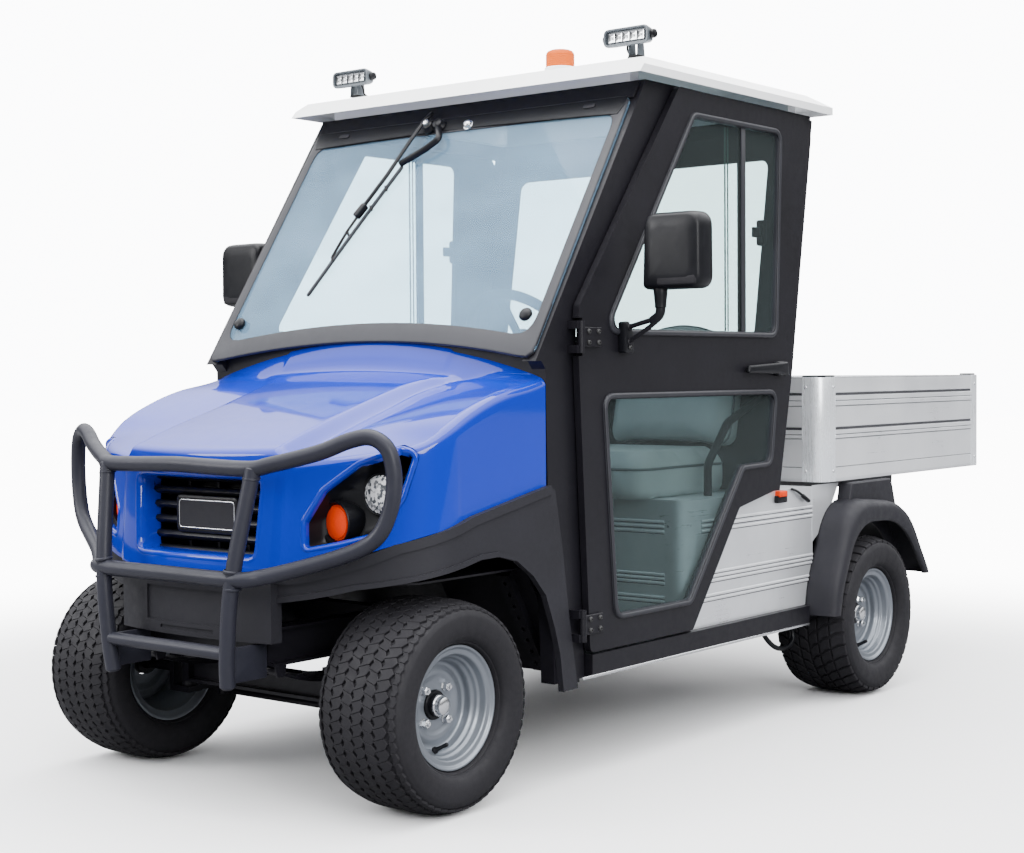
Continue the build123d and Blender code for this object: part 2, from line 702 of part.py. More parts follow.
def roof_form(inset):
    half = roof_half - inset
    front = [(roof_front_y + inset, roof_edge_z), (roof_front_y + 40 + inset, roof_edge_z + 44 - inset)]
    top = [(roof_front_y + 200, roof_crown_z - 8 - inset), (1240, roof_crown_z - inset),
           (roof_rear_y - 110, roof_crown_z - 16 - inset)]
    rear = [(roof_rear_y - inset, roof_edge_z + 24 - inset), (roof_rear_y - inset, roof_edge_z)]
    side = side_plate(front + top + rear, -half, half)
    crown = ThreePointArc((-half + 50, roof_edge_z + 56 - inset), (0, roof_crown_z - inset),
                          (half - 50, roof_edge_z + 56 - inset))
    edge = Polyline(crown @ 1, (half, roof_edge_z + 22 - inset), (half, roof_edge_z), (-half, roof_edge_z),
                    (-half, roof_edge_z + 22 - inset), crown @ 0)
    section = make_face(crown + edge)
    return side & extrude(Plane.XZ.offset(-2000) * section, amount=1800)


def roof():
    shell = roof_form(0) - roof_form(roof_wall).moved(Location((0, 0, -0.01)))
    return shell + roof_ribs()


def roof_ribs():
    """Two cross ribs under the roof, which rest on the cab's headers."""
    ribs = []
    half = cab_half - 50
    for y_low, y_high in ((792, 832), (1642, 1688)):
        foot = box(-half, half, y_low, y_high, cab_top_z + seat_fit, roof_edge_z + 10)
        web = box(-half, half, y_low, y_high, roof_edge_z + 5, roof_crown_z) & roof_form(roof_wall / 2)
        ribs.append(foot + web)
    return ribs[0] + ribs[1]


def roof_lamps():
    """Two lamp bars on posts and a flashing beacon, standing on the roof."""
    lamps = []
    for side in (-1, 1):
        x = side * 514
        bar = box(x - 74, x + 74, 822, 862, 1912, 1962)
        bar = fillet(bar.edges().filter_by(Axis.Y), 16)
        lamps.append(bar + rod((x + side * 74, 846, 1937), (x + side * 84, 846, 1937), 10))
        lamps.append(rod((side * 521, 884, 1862), (side * 521, 884, 1940), 11))
        lamps.append(box(side * 521 - 9, side * 521 + 9, 856, 884, 1926, 1944))
    foot, collar, top = ((0, 1215, z) for z in (roof_crown_z - 4, beacon_top_z - 54, beacon_top_z))
    beacon = rod(foot, collar, 36) + rod(collar, top, 44)
    for piece in lamps:
        beacon += piece
    return beacon - roof_form(-seat_fit)


def wiper():
    """Motor boss on the header, arm and blade lying on the windscreen."""
    boss = screen_plane(0.3) * Pos(-118, 776, 12) * Cylinder(22, 24)
    arm = screen_plane(14) * extrude(outline(band([(-118, 776), (-205, 620)], 16)), amount=10)
    blade = screen_plane(2) * extrude(outline(band([(-120, 770), (-290, 250)], 12)), amount=16)
    return boss + arm + blade


def floor_pan():
    half = sill_inner - seat_fit
    middle = floor_z + floor_sheet / 2
    line = [(396, 1010 - seat_fit), (396, 480), (550, middle), (1400, middle)]
    pan = side_plate(band(line, floor_sheet), -half, half)
    sill = box(half, sill_outer, 506, sill_rear_y, sill_low_z, sill_top_z)
    sill += box(half - 6, half, 560, sill_rear_y, sill_low_z, floor_z + floor_sheet)
    liner = side_plate(band(liner_line() + [(-150, 548)], liner_sheet), rail_x + 37, half)
    liner &= extrude(nose_plan(1), amount=1000)
    return pan + both(sill) + both(liner + fender_stay())


def liner_line():
    """Slope of the wheel house's rear wall."""
    return [(482, 262), (314, 548)]


def fender_stay():
    """Perforated channel that runs up the wheel house's rear wall."""
    face_depth = 22.0
    middle_x = cab_half - 110
    line = [(474, 276), (322, 535)]
    shape = side_plate(band(offset_line(line, face_depth / 2), face_depth), middle_x - 20, middle_x + 20)
    trough = band(offset_line(line, face_depth / 2 - 3), face_depth)
    shape -= side_plate(trough, middle_x - 17, middle_x + 17)
    run, rise = line[1][0] - line[0][0], line[1][1] - line[0][1]
    holes = 8
    for i in range(holes):
        share = (i + 0.7) / (holes + 0.4)
        y, z = line[0][0] + run * share, line[0][1] + rise * share
        shape -= rod((middle_x, y, z), (middle_x, y - rise / 8, z + run / 8), 6)
    return shape


def seat_base():
    """Ribbed box under the seat, which runs back beside the frame as the side panels."""
    half = seat_box_half
    low = sill_top_z + seat_fit
    wall = seat_box_wall
    base = Pos(0, 0, low) * extrude(seat_box_plan(0), amount=seat_box_top_z - low)
    base -= Pos(0, 0, low - 10) * extrude(seat_box_plan(wall), amount=seat_box_top_z - wall - low + 10)
    floor_top = floor_z + floor_sheet + seat_fit
    base -= box(-half + wall, half - wall, seat_box_front_y - 1, seat_box_front_y + 60, low - 1, floor_top)
    strips = []
    for z in (604, 588, 458, 444, 396, 384):
        strips.append((z, z + 6, wall / 2))
    flat = box(-700, 700, seat_box_front_y + 80, seat_box_rear_y + 20, low, seat_box_top_z)
    flat += box(80 - half, half - 80, seat_box_front_y - 10, seat_box_front_y + 20, low, seat_box_top_z)
    return base - (wall_strips(seat_box_plan, strips) & flat)


def seat_box_plan(inset):
    """Plan of the seat box with its two front corners rounded; the rear is open."""
    half = seat_box_half - inset
    front = seat_box_front_y + inset
    rear = seat_box_rear_y + (10 if inset else 0)
    face = outline([(-half, front), (half, front), (half, rear), (-half, rear)])
    return soft_corners(face, [(-half, front), (half, front)], seat_box_corner - inset)


def seat_cushion():
    top = seat_box_top_z + seat_fit
    cushion = box(-cushion_half, cushion_half, seat_box_front_y - 85, 1420, top, cushion_top_z)
    return fillet(cushion.edges().filter_by(Axis.Z), cushion_corner)


def seat_backs():
    foot = cushion_top_z + seat_fit
    inner, top_z, shoulder_z = 40.0, 1196.0, 1080.0
    back = side_plate([(1350, foot), (1436, top_z), (1528, top_z), (1462, foot)], inner, cushion_half)
    sides = Polyline((inner, shoulder_z), (inner, 700), (cushion_half, 700), (cushion_half, shoulder_z))
    middle_x = (inner + cushion_half) / 2
    dome = ThreePointArc((cushion_half, shoulder_z), (middle_x, top_z), (inner, shoulder_z))
    back &= extrude(Plane.XZ.offset(-1600) * make_face(sides + dome), amount=400)
    return both(back)


def seat_restraints():
    foot = seat_box_top_z + seat_fit
    x = cushion_half + 20
    hoop = tube([(x, 1190, foot), (x, 1190, foot + 90), (x, 1300, 880), (x, 1492, 950)], 12, 40)
    return both(hoop)


def dashboard():
    half = cab_half - post_depth - seat_fit
    slab = side_plate([(404, 900), (404, 1004), (560, 1000), (600, 960), (540, 900)], -half, half)
    column = rod(column_top(-170), column_top(0), 28)
    return slab + column


def steering_wheel():
    wheel = Torus(165, 14) + Pos(0, 0, -3) * Cylinder(34, 45)
    for angle in (30, 150, 270):
        wheel += Rot(0, 0, angle) * Pos(90, 0, -6) * Box(150, 24, 8)
    return Plane(origin=column_top(26), x_dir=(1, 0, 0), z_dir=column_axis()) * wheel


def column_axis():
    return Vector(0, column_run, column_rise).normalized()


def column_top(reach):
    return Vector(column_x, column_y, column_z) + column_axis() * reach


# ---- load bed ----
def bed_plan(inset):
    half = bed_half - inset
    corners = outline([(-half, bed_front_y + inset), (half, bed_front_y + inset), (half, bed_rear_y),
                       (-half, bed_rear_y)])
    return fillet([v for v in corners.vertices() if v.Y < bed_front_y + inset + 1], bed_corner - inset)


def bed_box():
    height = bed_top_z - bed_low_z
    walls = Pos(0, 0, bed_low_z) * extrude(bed_plan(0), amount=height)
    walls -= Pos(0, 0, bed_low_z + bed_floor) * extrude(bed_plan(bed_wall), amount=height)
    post_x = bed_half - bed_post
    walls += both(box(post_x, bed_half, bed_rear_y - 60, bed_rear_y, bed_low_z, bed_top_z))
    pin_start = (post_x, *gate_axis())
    walls += both(rod(pin_start, (post_x - tailgate_gap - 18, *gate_axis()), tailgate_pin_r))
    low, top = bed_low_z - 1, bed_top_z + 1
    between_posts = box(-700, 700, bed_front_y + bed_post_reach, bed_rear_y - 46, low, top)
    reach = bed_half - bed_post_reach
    between_posts += box(-reach, reach, bed_front_y - 5, bed_front_y + bed_wall, low, top)
    return walls - (bed_grooves() & between_posts)


def bed_grooves():
    """Steps and grooves of the planks, as rings round the front and side walls."""
    strips = [(bed_low_z + 10, bed_top_z - 6, plank_inset)]
    for joint_z in (822, 926):
        strips.append((joint_z + 2, joint_z + 16, plank_inset + 6))
        strips.append((joint_z - 14, joint_z - 6, plank_inset + 3))
    return wall_strips(bed_plan, strips)


def wall_strips(plan, strips):
    """Rings of given depth cut into upright walls; plan(inset) is the walls' outline."""
    rings = None
    for z_low, z_high, depth in strips:
        ring = Pos(0, 0, z_low) * extrude(plan(-5) - plan(depth), amount=z_high - z_low)
        rings = ring if rings is None else rings + ring
    return rings


def gate_axis():
    """The tailgate's hinge line as (y, z): its lower edge is rounded about it."""
    return (bed_rear_y - tailgate_thick / 2, bed_low_z + bed_floor + tailgate_gap + tailgate_thick / 2)


def tail_lamps():
    """Upright lamp strips on the backs of the rear posts."""
    x_low = bed_half - bed_post + 8
    return both(box(x_low, bed_half - 5, bed_rear_y, bed_rear_y + tail_lamp_depth, 846, 962))


def bed_frame():
    top, outer, ear_half = bed_low_z - seat_fit, rail_x + 125, 7
    beams = both(box(outer - 60, outer, bed_front_y + 40, bed_rear_y - 90, bed_low_z - 59, top))
    beams += both(box(rail_x - ear_half, rail_x + ear_half, bed_pivot_y - 20, bed_pivot_y + 20,
                      bed_pivot_z - 20, top))
    for y in (bed_front_y + 70, bed_pivot_y):
        beams += box(-outer, outer, y - 25, y + 25, bed_low_z - 49, top)
    pin_ends = [(x, bed_pivot_y, bed_pivot_z) for x in (rail_x - 30, rail_x + ear_half)]
    return beams + both(rod(*pin_ends, bed_pin_r))


def tailgate():
    half = bed_half - bed_post - tailgate_gap
    axis_y, axis_z = gate_axis()
    gate = box(-half, half, bed_rear_y - tailgate_thick, bed_rear_y, axis_z, bed_top_z)
    gate += rod((-half, axis_y, axis_z), (half, axis_y, axis_z), tailgate_thick / 2)
    socket = rod((half - 20, axis_y, axis_z), (half + 1, axis_y, axis_z), tailgate_pin_r + seat_fit)
    return gate - both(socket)


def engine():
    front = wheelbase - 120 - seat_fit
    return box(-150, 150, front - 270, front, 340, 600)


def all_pieces():
    wheel = rim()
    rubber = tyre()
    pieces = {}
    for axle, x, y in (("front", front_wheel_x, 0.0), ("rear", rear_wheel_x, wheelbase)):
        for name, shape in (("wheel", wheel), ("tyre", rubber)):
            left = Pos(x, y, tyre_radius) * shape
            pieces[name + "_" + axle + "_left"] = left
            pieces[name + "_" + axle + "_right"] = mirrored(left)
    for name, shape in (("knuckle", knuckle()), ("door", door()), ("door_glass", door_glass()),
                        ("mirror", mirror_arm())):
        pieces[name + "_left"] = shape
        pieces[name + "_right"] = mirrored(shape)
    under = [tie_rod, front_axle, rear_axle, leaf_springs, chassis_frame, engine]
    front = [cowl, grille, lamp_housings, front_lamps, front_skirt, bull_bar]
    cab = [cab_frame, cab_glass, rear_wall, roof, roof_lamps, wiper, floor_pan, dashboard, steering_wheel]
    seats = [seat_base, seat_cushion, seat_backs, seat_restraints]
    rear = [rear_fenders, bed_box, bed_frame, tail_lamps, tailgate]
    for maker in under + front + cab + seats + rear:
        pieces[maker.__name__] = maker()
    return pieces


def main():
    os.makedirs("parts", exist_ok=True)
    for name, shape in all_pieces().items():
        export_step(Pos(0, -middle_y, 0) * shape, "parts/" + name + ".step")


main()
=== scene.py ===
import math

import bmesh
import bpy
from mathutils import Matrix, Vector
from mathutils.bvhtree import BVHTree


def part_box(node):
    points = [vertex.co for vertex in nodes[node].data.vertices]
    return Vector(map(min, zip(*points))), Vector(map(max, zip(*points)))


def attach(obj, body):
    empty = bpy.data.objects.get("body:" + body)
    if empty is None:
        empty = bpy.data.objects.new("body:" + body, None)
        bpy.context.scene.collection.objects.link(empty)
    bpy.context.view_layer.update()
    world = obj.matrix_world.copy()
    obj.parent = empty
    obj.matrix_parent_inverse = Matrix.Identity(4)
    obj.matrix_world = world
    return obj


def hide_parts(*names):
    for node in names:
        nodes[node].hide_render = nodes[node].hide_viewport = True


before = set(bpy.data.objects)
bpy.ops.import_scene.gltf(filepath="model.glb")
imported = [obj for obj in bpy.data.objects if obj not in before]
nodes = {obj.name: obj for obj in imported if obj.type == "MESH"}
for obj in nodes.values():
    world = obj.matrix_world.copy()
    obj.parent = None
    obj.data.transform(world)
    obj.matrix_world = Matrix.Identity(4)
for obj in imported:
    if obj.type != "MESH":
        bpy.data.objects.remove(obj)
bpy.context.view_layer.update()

print("frame loaded:", len(nodes), "nodes")

finish = {}    # every material by its name


def addNode(tree, kind, links=None, **settings):
    node = tree.nodes.new("ShaderNode" + kind)
    for key, value in settings.items():
        setattr(node, key, value)
    for key, value in (links or {}).items():
        if isinstance(value, bpy.types.NodeSocket):
            tree.links.new(value, node.inputs[key])
        else:
            node.inputs[key].default_value = value
    return node


def startMaterial(name, sockets):
    material = bpy.data.materials.new(name)
    material.use_nodes = True
    tree = material.node_tree
    shader = tree.nodes["Principled BSDF"]
    for key, value in sockets.items():
        shader.inputs[key].default_value = value
    place = addNode(tree, "TexCoord").outputs["Object"]
    finish[name] = material
    return tree, shader, place


def noise(tree, place, scale, detail=4.0, roughness=0.5, stretch=None):
    if stretch:
        place = addNode(tree, "Mapping", {"Vector": place, "Scale": stretch}).outputs["Vector"]
    made = addNode(tree, "TexNoise", {"Vector": place, "Scale": scale, "Detail": detail,
                                      "Roughness": roughness})
    return made.outputs["Fac"]


def ramp(tree, fac, low, high, start=0.3, end=0.7):
    made = addNode(tree, "ValToRGB", {"Fac": fac})
    first, last = made.color_ramp.elements
    first.position, last.position = start, end
    first.color, last.color = (*low, 1), (*high, 1)
    return made.outputs["Color"]


def span(tree, fac, low, high, start=0.3, end=0.7):
    made = addNode(tree, "MapRange", {"Value": fac, "From Min": start, "From Max": end,
                                      "To Min": low, "To Max": high})
    return made.outputs["Result"]


def bump(tree, shader, height, strength, depth):
    made = addNode(tree, "Bump", {"Height": height, "Strength": strength, "Distance": depth})
    tree.links.new(made.outputs["Normal"], shader.inputs["Normal"])


def paintFinish(name, colour, shade, rough, coat=0.0, metal=0.0, peel=0.0002, level=0.5):
    sockets = {"Coat Weight": coat, "Coat Roughness": 0.04, "Metallic": metal, "IOR": 1.5,
               "Specular IOR Level": level}
    tree, shader, place = startMaterial(name, sockets)
    cloud = noise(tree, place, 3.2, 3.0)
    tree.links.new(ramp(tree, cloud, shade, colour), shader.inputs["Base Color"])
    dust = noise(tree, place, 26.0, 5.0)
    tree.links.new(span(tree, dust, rough * 0.9, rough * 1.1), shader.inputs["Roughness"])
    if peel:
        bump(tree, shader, noise(tree, place, 140.0, 1.0), 0.15, peel)


def texturedFinish(name, colour, shade, rough, grain, depth, metal=0.0, level=0.5):
    sockets = {"Metallic": metal, "Specular IOR Level": level}
    tree, shader, place = startMaterial(name, sockets)
    cloud = noise(tree, place, 5.0, 6.0, 0.6)
    tree.links.new(ramp(tree, cloud, shade, colour), shader.inputs["Base Color"])
    wear = noise(tree, place, 40.0, 4.0, 0.6)
    tree.links.new(span(tree, wear, rough * 0.85, rough * 1.15), shader.inputs["Roughness"])
    cells = addNode(tree, "TexVoronoi", {"Vector": place, "Scale": grain})
    bump(tree, shader, cells.outputs["Distance"], 0.5, depth)


def brushedFinish(name, colour, shade, rough, stretch):
    sockets = {"Metallic": 1.0, "Anisotropic": 0.5}
    tree, shader, place = startMaterial(name, sockets)
    streak = noise(tree, place, 1.0, 6.0, 0.65, stretch)
    smudge = noise(tree, place, 4.0, 5.0, 0.6)
    tree.links.new(ramp(tree, smudge, shade, colour, 0.25, 0.75), shader.inputs["Base Color"])
    both = addNode(tree, "Math", {0: streak, 1: smudge}, operation="ADD").outputs["Value"]
    tree.links.new(span(tree, both, rough * 0.75, rough * 1.3, 0.7, 1.3), shader.inputs["Roughness"])
    bump(tree, shader, streak, 0.12, 0.0004)
    return shader


def sheetFinish(name, colour, shade, rough, stretch, metal):    # anodised sheet, duller than bare metal
    shader = brushedFinish(name, colour, shade, rough, stretch)
    shader.inputs["Metallic"].default_value = metal


def glassFinish(name, tint, veil, film):    # see-through, with a film and an outer reflection; on the windscreen the film's pale blue is a painted reflection of the sky, on the pane edges it is the glass's own green
    tree, shader, place = startMaterial(name, {"Roughness": 0.03, "IOR": 1.5})
    pale = tuple(c * 1.25 for c in veil)
    tree.links.new(ramp(tree, noise(tree, place, 1.5, 2.0), veil, pale), shader.inputs["Base Color"])
    # random patches in the film's strength
    filmPatches = noise(tree, place, 3.0, 4.0, 0.5, (1.0, 1.0, 2.5))
    filmShare = span(tree, filmPatches, film * 0.8, film * 1.2)
    shine = addNode(tree, "Fresnel", {"IOR": 1.5}).outputs["Fac"]
    outside = addNode(tree, "Math", {0: 1.0, 1: addNode(tree, "NewGeometry").outputs["Backfacing"]},
                      operation="SUBTRACT").outputs["Value"]
    shine = addNode(tree, "Math", {0: shine, 1: outside}, operation="MULTIPLY").outputs["Value"]
    shine = addNode(tree, "Math", {0: shine, 1: 0.6}, operation="MULTIPLY").outputs["Value"]
    share = addNode(tree, "Math", {0: filmShare, 1: shine}, operation="ADD", use_clamp=True).outputs["Value"]
    clear = addNode(tree, "BsdfTransparent", {"Color": (*tint, 1)})
    mixed = addNode(tree, "MixShader", {"Fac": share, 1: clear.outputs["BSDF"], 2: shader.outputs["BSDF"]})
    tree.links.new(mixed.outputs["Shader"], tree.nodes["Material Output"].inputs["Surface"])


def lensFinish(name, colour, rough, ribs):
    sockets = {"Roughness": rough, "Transmission Weight": 0.55, "IOR": 1.45, "Coat Weight": 0.6}
    tree, shader, place = startMaterial(name, sockets)
    cloud = noise(tree, place, 20.0, 3.0)
    dark = tuple(c * 0.7 for c in colour)
    tree.links.new(ramp(tree, cloud, dark, colour), shader.inputs["Base Color"])
    cells = addNode(tree, "TexVoronoi", {"Vector": place, "Scale": ribs})
    bump(tree, shader, cells.outputs["Distance"], 0.4, 0.001)


def paintedGlintFinish(name, colour, shade, facets, deep, metal):    # pressed facets of a bright lamp: the bump gives the facets, while the cells' white and dark colours are painted glints and dark reflections of the chrome bowl
    tree, shader, place = startMaterial(name, {"Metallic": metal, "Coat Weight": 0.5})
    cells = addNode(tree, "TexVoronoi", {"Vector": place, "Scale": facets})
    tree.links.new(ramp(tree, cells.outputs["Color"], shade, colour, 0.3, 0.6), shader.inputs["Base Color"])
    tree.links.new(span(tree, noise(tree, place, 30.0, 3.0), 0.04, 0.14), shader.inputs["Roughness"])
    bump(tree, shader, cells.outputs["Distance"], 0.9, deep)


paintFinish("bluePaint", (0.0, 0.020, 0.36), (0.0, 0.018, 0.33), 0.32, coat=0.8, peel=0.0, level=0.05)
texturedFinish("blackSteel", (0.0078, 0.0073, 0.0102), (0.0058, 0.0054, 0.0076), 0.42, 900.0, 0.0001, level=0.22)
texturedFinish("greySteel", (0.02, 0.0205, 0.029), (0.0155, 0.016, 0.023), 0.4, 1100.0, 0.0001, level=0.22)
paintFinish("silverSteel", (0.21, 0.23, 0.26), (0.17, 0.187, 0.21), 0.38, coat=0.2, metal=0.65)
texturedFinish("darkPlastic", (0.0165, 0.0162, 0.0205), (0.0125, 0.0122, 0.0155), 0.55, 700.0, 0.0002, level=0.22)
texturedFinish("blackPlastic", (0.0055, 0.0057, 0.0078), (0.0038, 0.004, 0.0054), 0.36, 1200.0, 0.0001, level=0.22)
texturedFinish("whitePlastic", (0.95, 0.96, 0.96), (0.9, 0.91, 0.92), 0.35, 300.0, 0.0001)
sheetFinish("aluminium", (0.88, 0.9, 0.92), (0.7, 0.715, 0.74), 0.34, (60.0, 2.0, 240.0), 0.7)
sheetFinish("plankMetal", (0.93, 0.945, 0.965), (0.8, 0.815, 0.84), 0.36, (60.0, 2.0, 240.0), 0.58)
sheetFinish("postMetal", (0.92, 0.95, 0.98), (0.84, 0.875, 0.91), 0.28, (120.0, 120.0, 3.0), 0.5)
texturedFinish("tyreRubber", (0.0098, 0.0092, 0.0118), (0.0065, 0.006, 0.008), 0.7, 420.0, 0.0003, level=0.3)
texturedFinish("greyVinyl", (0.46, 0.48, 0.48), (0.38, 0.4, 0.4), 0.5, 500.0, 0.0006)
glassFinish("windowGlass", (0.64, 0.7, 0.7), (0.3, 0.36, 0.36), 0.01)
# the windscreen's pale blue film is a painted reflection of the sky
glassFinish("screenGlass", (0.78, 0.87, 0.92), (0.22, 0.36, 0.5), 0.24)
lensFinish("lampLens", (0.9, 0.93, 0.95), 0.06, 160.0)
# painted glints: white and near-black cells on the head lamp's lens
paintedGlintFinish("headGlass", (1.0, 1.0, 1.0), (0.09, 0.1, 0.11), 150.0, 0.0015, 0.15)
paintFinish("amberLens", (0.82, 0.045, 0.0), (0.68, 0.034, 0.0), 0.4, coat=0.12, level=0.1)
paintFinish("beaconLens", (0.62, 0.11, 0.0), (0.5, 0.075, 0.0), 0.45, coat=0.08, level=0.08)
glassFinish("paneEdge", (0.5, 0.72, 0.66), (0.06, 0.12, 0.10), 0.75)
paintFinish("lampMetal", (0.1, 0.115, 0.13), (0.08, 0.092, 0.105), 0.4, coat=0.2, metal=0.4)
texturedFinish("vinylPiping", (0.10, 0.105, 0.11), (0.08, 0.083, 0.088), 0.45, 600.0, 0.0003)
# painted shade: the dark strips in the bed's grooves and under the side panels' ribs
texturedFinish("grooveShade", (0.05, 0.05, 0.056), (0.035, 0.035, 0.04), 0.5, 500.0, 0.0002, level=0.3)
texturedFinish("rubberTrim", (0.024, 0.0245, 0.03), (0.018, 0.0185, 0.023), 0.42, 1500.0, 0.0001, level=0.3)
lensFinish("redLens", (0.5, 0.01, 0.012), 0.12, 220.0)
brushedFinish("mirrorMetal", (0.9, 0.91, 0.92), (0.8, 0.81, 0.83), 0.08, (40.0, 40.0, 40.0))
brushedFinish("brightMetal", (0.8, 0.81, 0.82), (0.66, 0.67, 0.69), 0.22, (90.0, 90.0, 90.0))
texturedFinish("castIron", (0.05, 0.05, 0.05), (0.03, 0.03, 0.03), 0.6, 260.0, 0.001, 0.4)

slotFinish = {
    "blue_paint": "bluePaint", "black_steel": "blackSteel", "grey_steel": "greySteel",
    "silver_steel": "silverSteel", "dark_plastic": "darkPlastic", "black_plastic": "blackPlastic",
    "white_plastic": "whitePlastic", "aluminium": "aluminium", "tyre": "tyreRubber",
    "vinyl": "greyVinyl", "clear_glass": "windowGlass", "lamp_glass": "lampLens",
    "red_lens": "redLens", "cast_iron": "castIron",
}

for node in nodes.values():
    for held in node.material_slots:
        held.material = finish[slotFinish[held.material.name]]
print("finishes set")


def meshObject(name, verts, faces, finishName=None, sharp=None):
    mesh = bpy.data.meshes.new(name)
    mesh.from_pydata([tuple(v) for v in verts], [], faces)
    mesh.validate()
    obj = bpy.data.objects.new(name, mesh)
    bpy.context.scene.collection.objects.link(obj)
    if finishName:
        mesh.materials.append(finish[finishName])
    shade(obj, sharp)
    return obj


def shade(obj, sharp=None):
    obj.data.shade_smooth()
    if sharp is not None:
        obj.data.set_sharp_from_angle(angle=math.radians(sharp))


def settle(obj):    # turns modifiers into plain mesh
    graph = bpy.context.evaluated_depsgraph_get()
    graph.update()
    mesh = bpy.data.meshes.new_from_object(obj.evaluated_get(graph))
    obj.modifiers.clear()
    old = obj.data
    obj.data = mesh
    bpy.data.meshes.remove(old)
    return obj


def modify(obj, kind, **settings):
    made = obj.modifiers.new(kind.lower(), kind)
    for key, value in settings.items():
        setattr(made, key, value)
    return made


def moved(obj, matrix):    # moves the mesh itself, so that the object stays at the origin
    obj.data.transform(matrix)
    if matrix.determinant() < 0:
        obj.data.flip_normals()
    return obj


def copyOf(obj, name, matrix=None):
    other = bpy.data.objects.new(name, obj.data.copy())
    bpy.context.scene.collection.objects.link(other)
    if matrix is not None:
        moved(other, matrix)
    return other


def joined(name, pieces):
    first = pieces[0]
    if len(pieces) > 1:
        with bpy.context.temp_override(active_object=first, selected_editable_objects=pieces,
                                       selected_objects=pieces, object=first):
            bpy.ops.object.join()
    first.name = name
    first.data.name = name
    return first


def mount(obj, body, slot, *replaced):    # rides on a body, stands for CAD nodes
    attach(obj, body)
    if replaced:
        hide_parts(*replaced)
    return obj


def remove(obj):
    bpy.data.objects.remove(obj)


def turnedShape(name, profile, finishName, steps=64, sharp=35, closed=True):
    # profile of (x, radius) turned about X
    count = len(profile)
    verts, faces = [], []
    for i in range(steps):
        a = 2 * math.pi * i / steps
        verts += [(x, r * math.cos(a), r * math.sin(a)) for x, r in profile]
    last = count if closed else count - 1
    for i in range(steps):
        j = (i + 1) % steps
        for k in range(last):
            n = (k + 1) % count
            faces.append((i * count + k, i * count + n, j * count + n, j * count + k))
    obj = meshObject(name, verts, faces, finishName)
    tidyMesh(obj)
    shade(obj, sharp)
    return obj


def tidyMesh(obj, distance=1e-6):    # joins doubles and turns faces outwards
    mesh = bmesh.new()
    mesh.from_mesh(obj.data)
    bmesh.ops.remove_doubles(mesh, verts=mesh.verts, dist=distance)
    bmesh.ops.dissolve_degenerate(mesh, edges=mesh.edges, dist=distance)
    bmesh.ops.recalc_face_normals(mesh, faces=mesh.faces)
    mesh.to_mesh(obj.data)
    mesh.free()


def smoothCurve(points):    # cubic through (at, value) points
    at = [p[0] for p in points]
    value = [p[1] for p in points]
    runs = [(value[i + 1] - value[i]) / (at[i + 1] - at[i]) for i in range(len(at) - 1)]
    slope = [runs[0]] + [(runs[i] + runs[i + 1]) / 2 for i in range(len(runs) - 1)] + [runs[-1]]

    def read(t):
        if t <= at[0]:
            return value[0] + slope[0] * (t - at[0])
        if t >= at[-1]:
            return value[-1] + slope[-1] * (t - at[-1])
        i = max(k for k in range(len(at) - 1) if at[k] <= t)
        run = at[i + 1] - at[i]
        s = (t - at[i]) / run
        return ((2 * s**3 - 3 * s**2 + 1) * value[i] + (s**3 - 2 * s**2 + s) * run * slope[i]
                + (3 * s**2 - 2 * s**3) * value[i + 1] + (s**3 - s**2) * run * slope[i + 1])
    return read


def ease(t):
    t = min(max(t, 0.0), 1.0)
    return t * t * (3 - 2 * t)


def repeatTree(name, ring):
    tree = bpy.data.node_groups.new(name, "GeometryNodeTree")
    inward = [("Shape", "Geometry"), ("Count", "Int"), ("Step", "Vector"), ("Finish", "Material")]
    for label, kind in inward:
        tree.interface.new_socket(label, in_out="INPUT", socket_type="NodeSocket" + kind)
    tree.interface.new_socket("Shape", in_out="OUTPUT", socket_type="NodeSocketGeometry")
    made = {}
    for kind in ("NodeGroupInput", "NodeGroupOutput", "GeometryNodeMeshLine", "GeometryNodeInputIndex",
                 "GeometryNodeInstanceOnPoints", "GeometryNodeRealizeInstances", "GeometryNodeSetMaterial",
                 "FunctionNodeEulerToRotation", "ShaderNodeVectorMath"):
        made[kind] = tree.nodes.new(kind)
    given, line = made["NodeGroupInput"], made["GeometryNodeMeshLine"]
    copies, scaled = made["GeometryNodeInstanceOnPoints"], made["ShaderNodeVectorMath"]
    scaled.operation = "SCALE"
    link = tree.links.new
    link(given.outputs["Count"], line.inputs["Count"])
    link(given.outputs["Shape"], copies.inputs["Instance"])
    link(line.outputs["Mesh"], copies.inputs["Points"])
    if ring:
        line.inputs["Offset"].default_value = (0, 0, 0)
        link(given.outputs["Step"], scaled.inputs[0])
        link(made["GeometryNodeInputIndex"].outputs["Index"], scaled.inputs["Scale"])
        link(scaled.outputs["Vector"], made["FunctionNodeEulerToRotation"].inputs["Euler"])
        link(made["FunctionNodeEulerToRotation"].outputs["Rotation"], copies.inputs["Rotation"])
    else:
        link(given.outputs["Step"], line.inputs["Offset"])
    link(copies.outputs["Instances"], made["GeometryNodeRealizeInstances"].inputs["Geometry"])
    link(made["GeometryNodeRealizeInstances"].outputs["Geometry"], made["GeometryNodeSetMaterial"].inputs["Geometry"])
    link(given.outputs["Finish"], made["GeometryNodeSetMaterial"].inputs["Material"])
    link(made["GeometryNodeSetMaterial"].outputs["Geometry"], made["NodeGroupOutput"].inputs["Shape"])
    return tree


repeatTrees = {"ring": repeatTree("ringOfPieces", True), "row": repeatTree("rowOfPieces", False)}


def repeated(obj, kind, count, step, finishName, sharp=30):
    tree = repeatTrees[kind]
    made = obj.modifiers.new("repeat", "NODES")
    made.node_group = tree
    values = {"Count": count, "Step": step, "Finish": finish[finishName]}
    for item in tree.interface.items_tree:
        if item.in_out == "INPUT" and item.name in values:
            made[item.identifier] = values[item.name]
    settle(obj)
    shade(obj, sharp)
    return obj


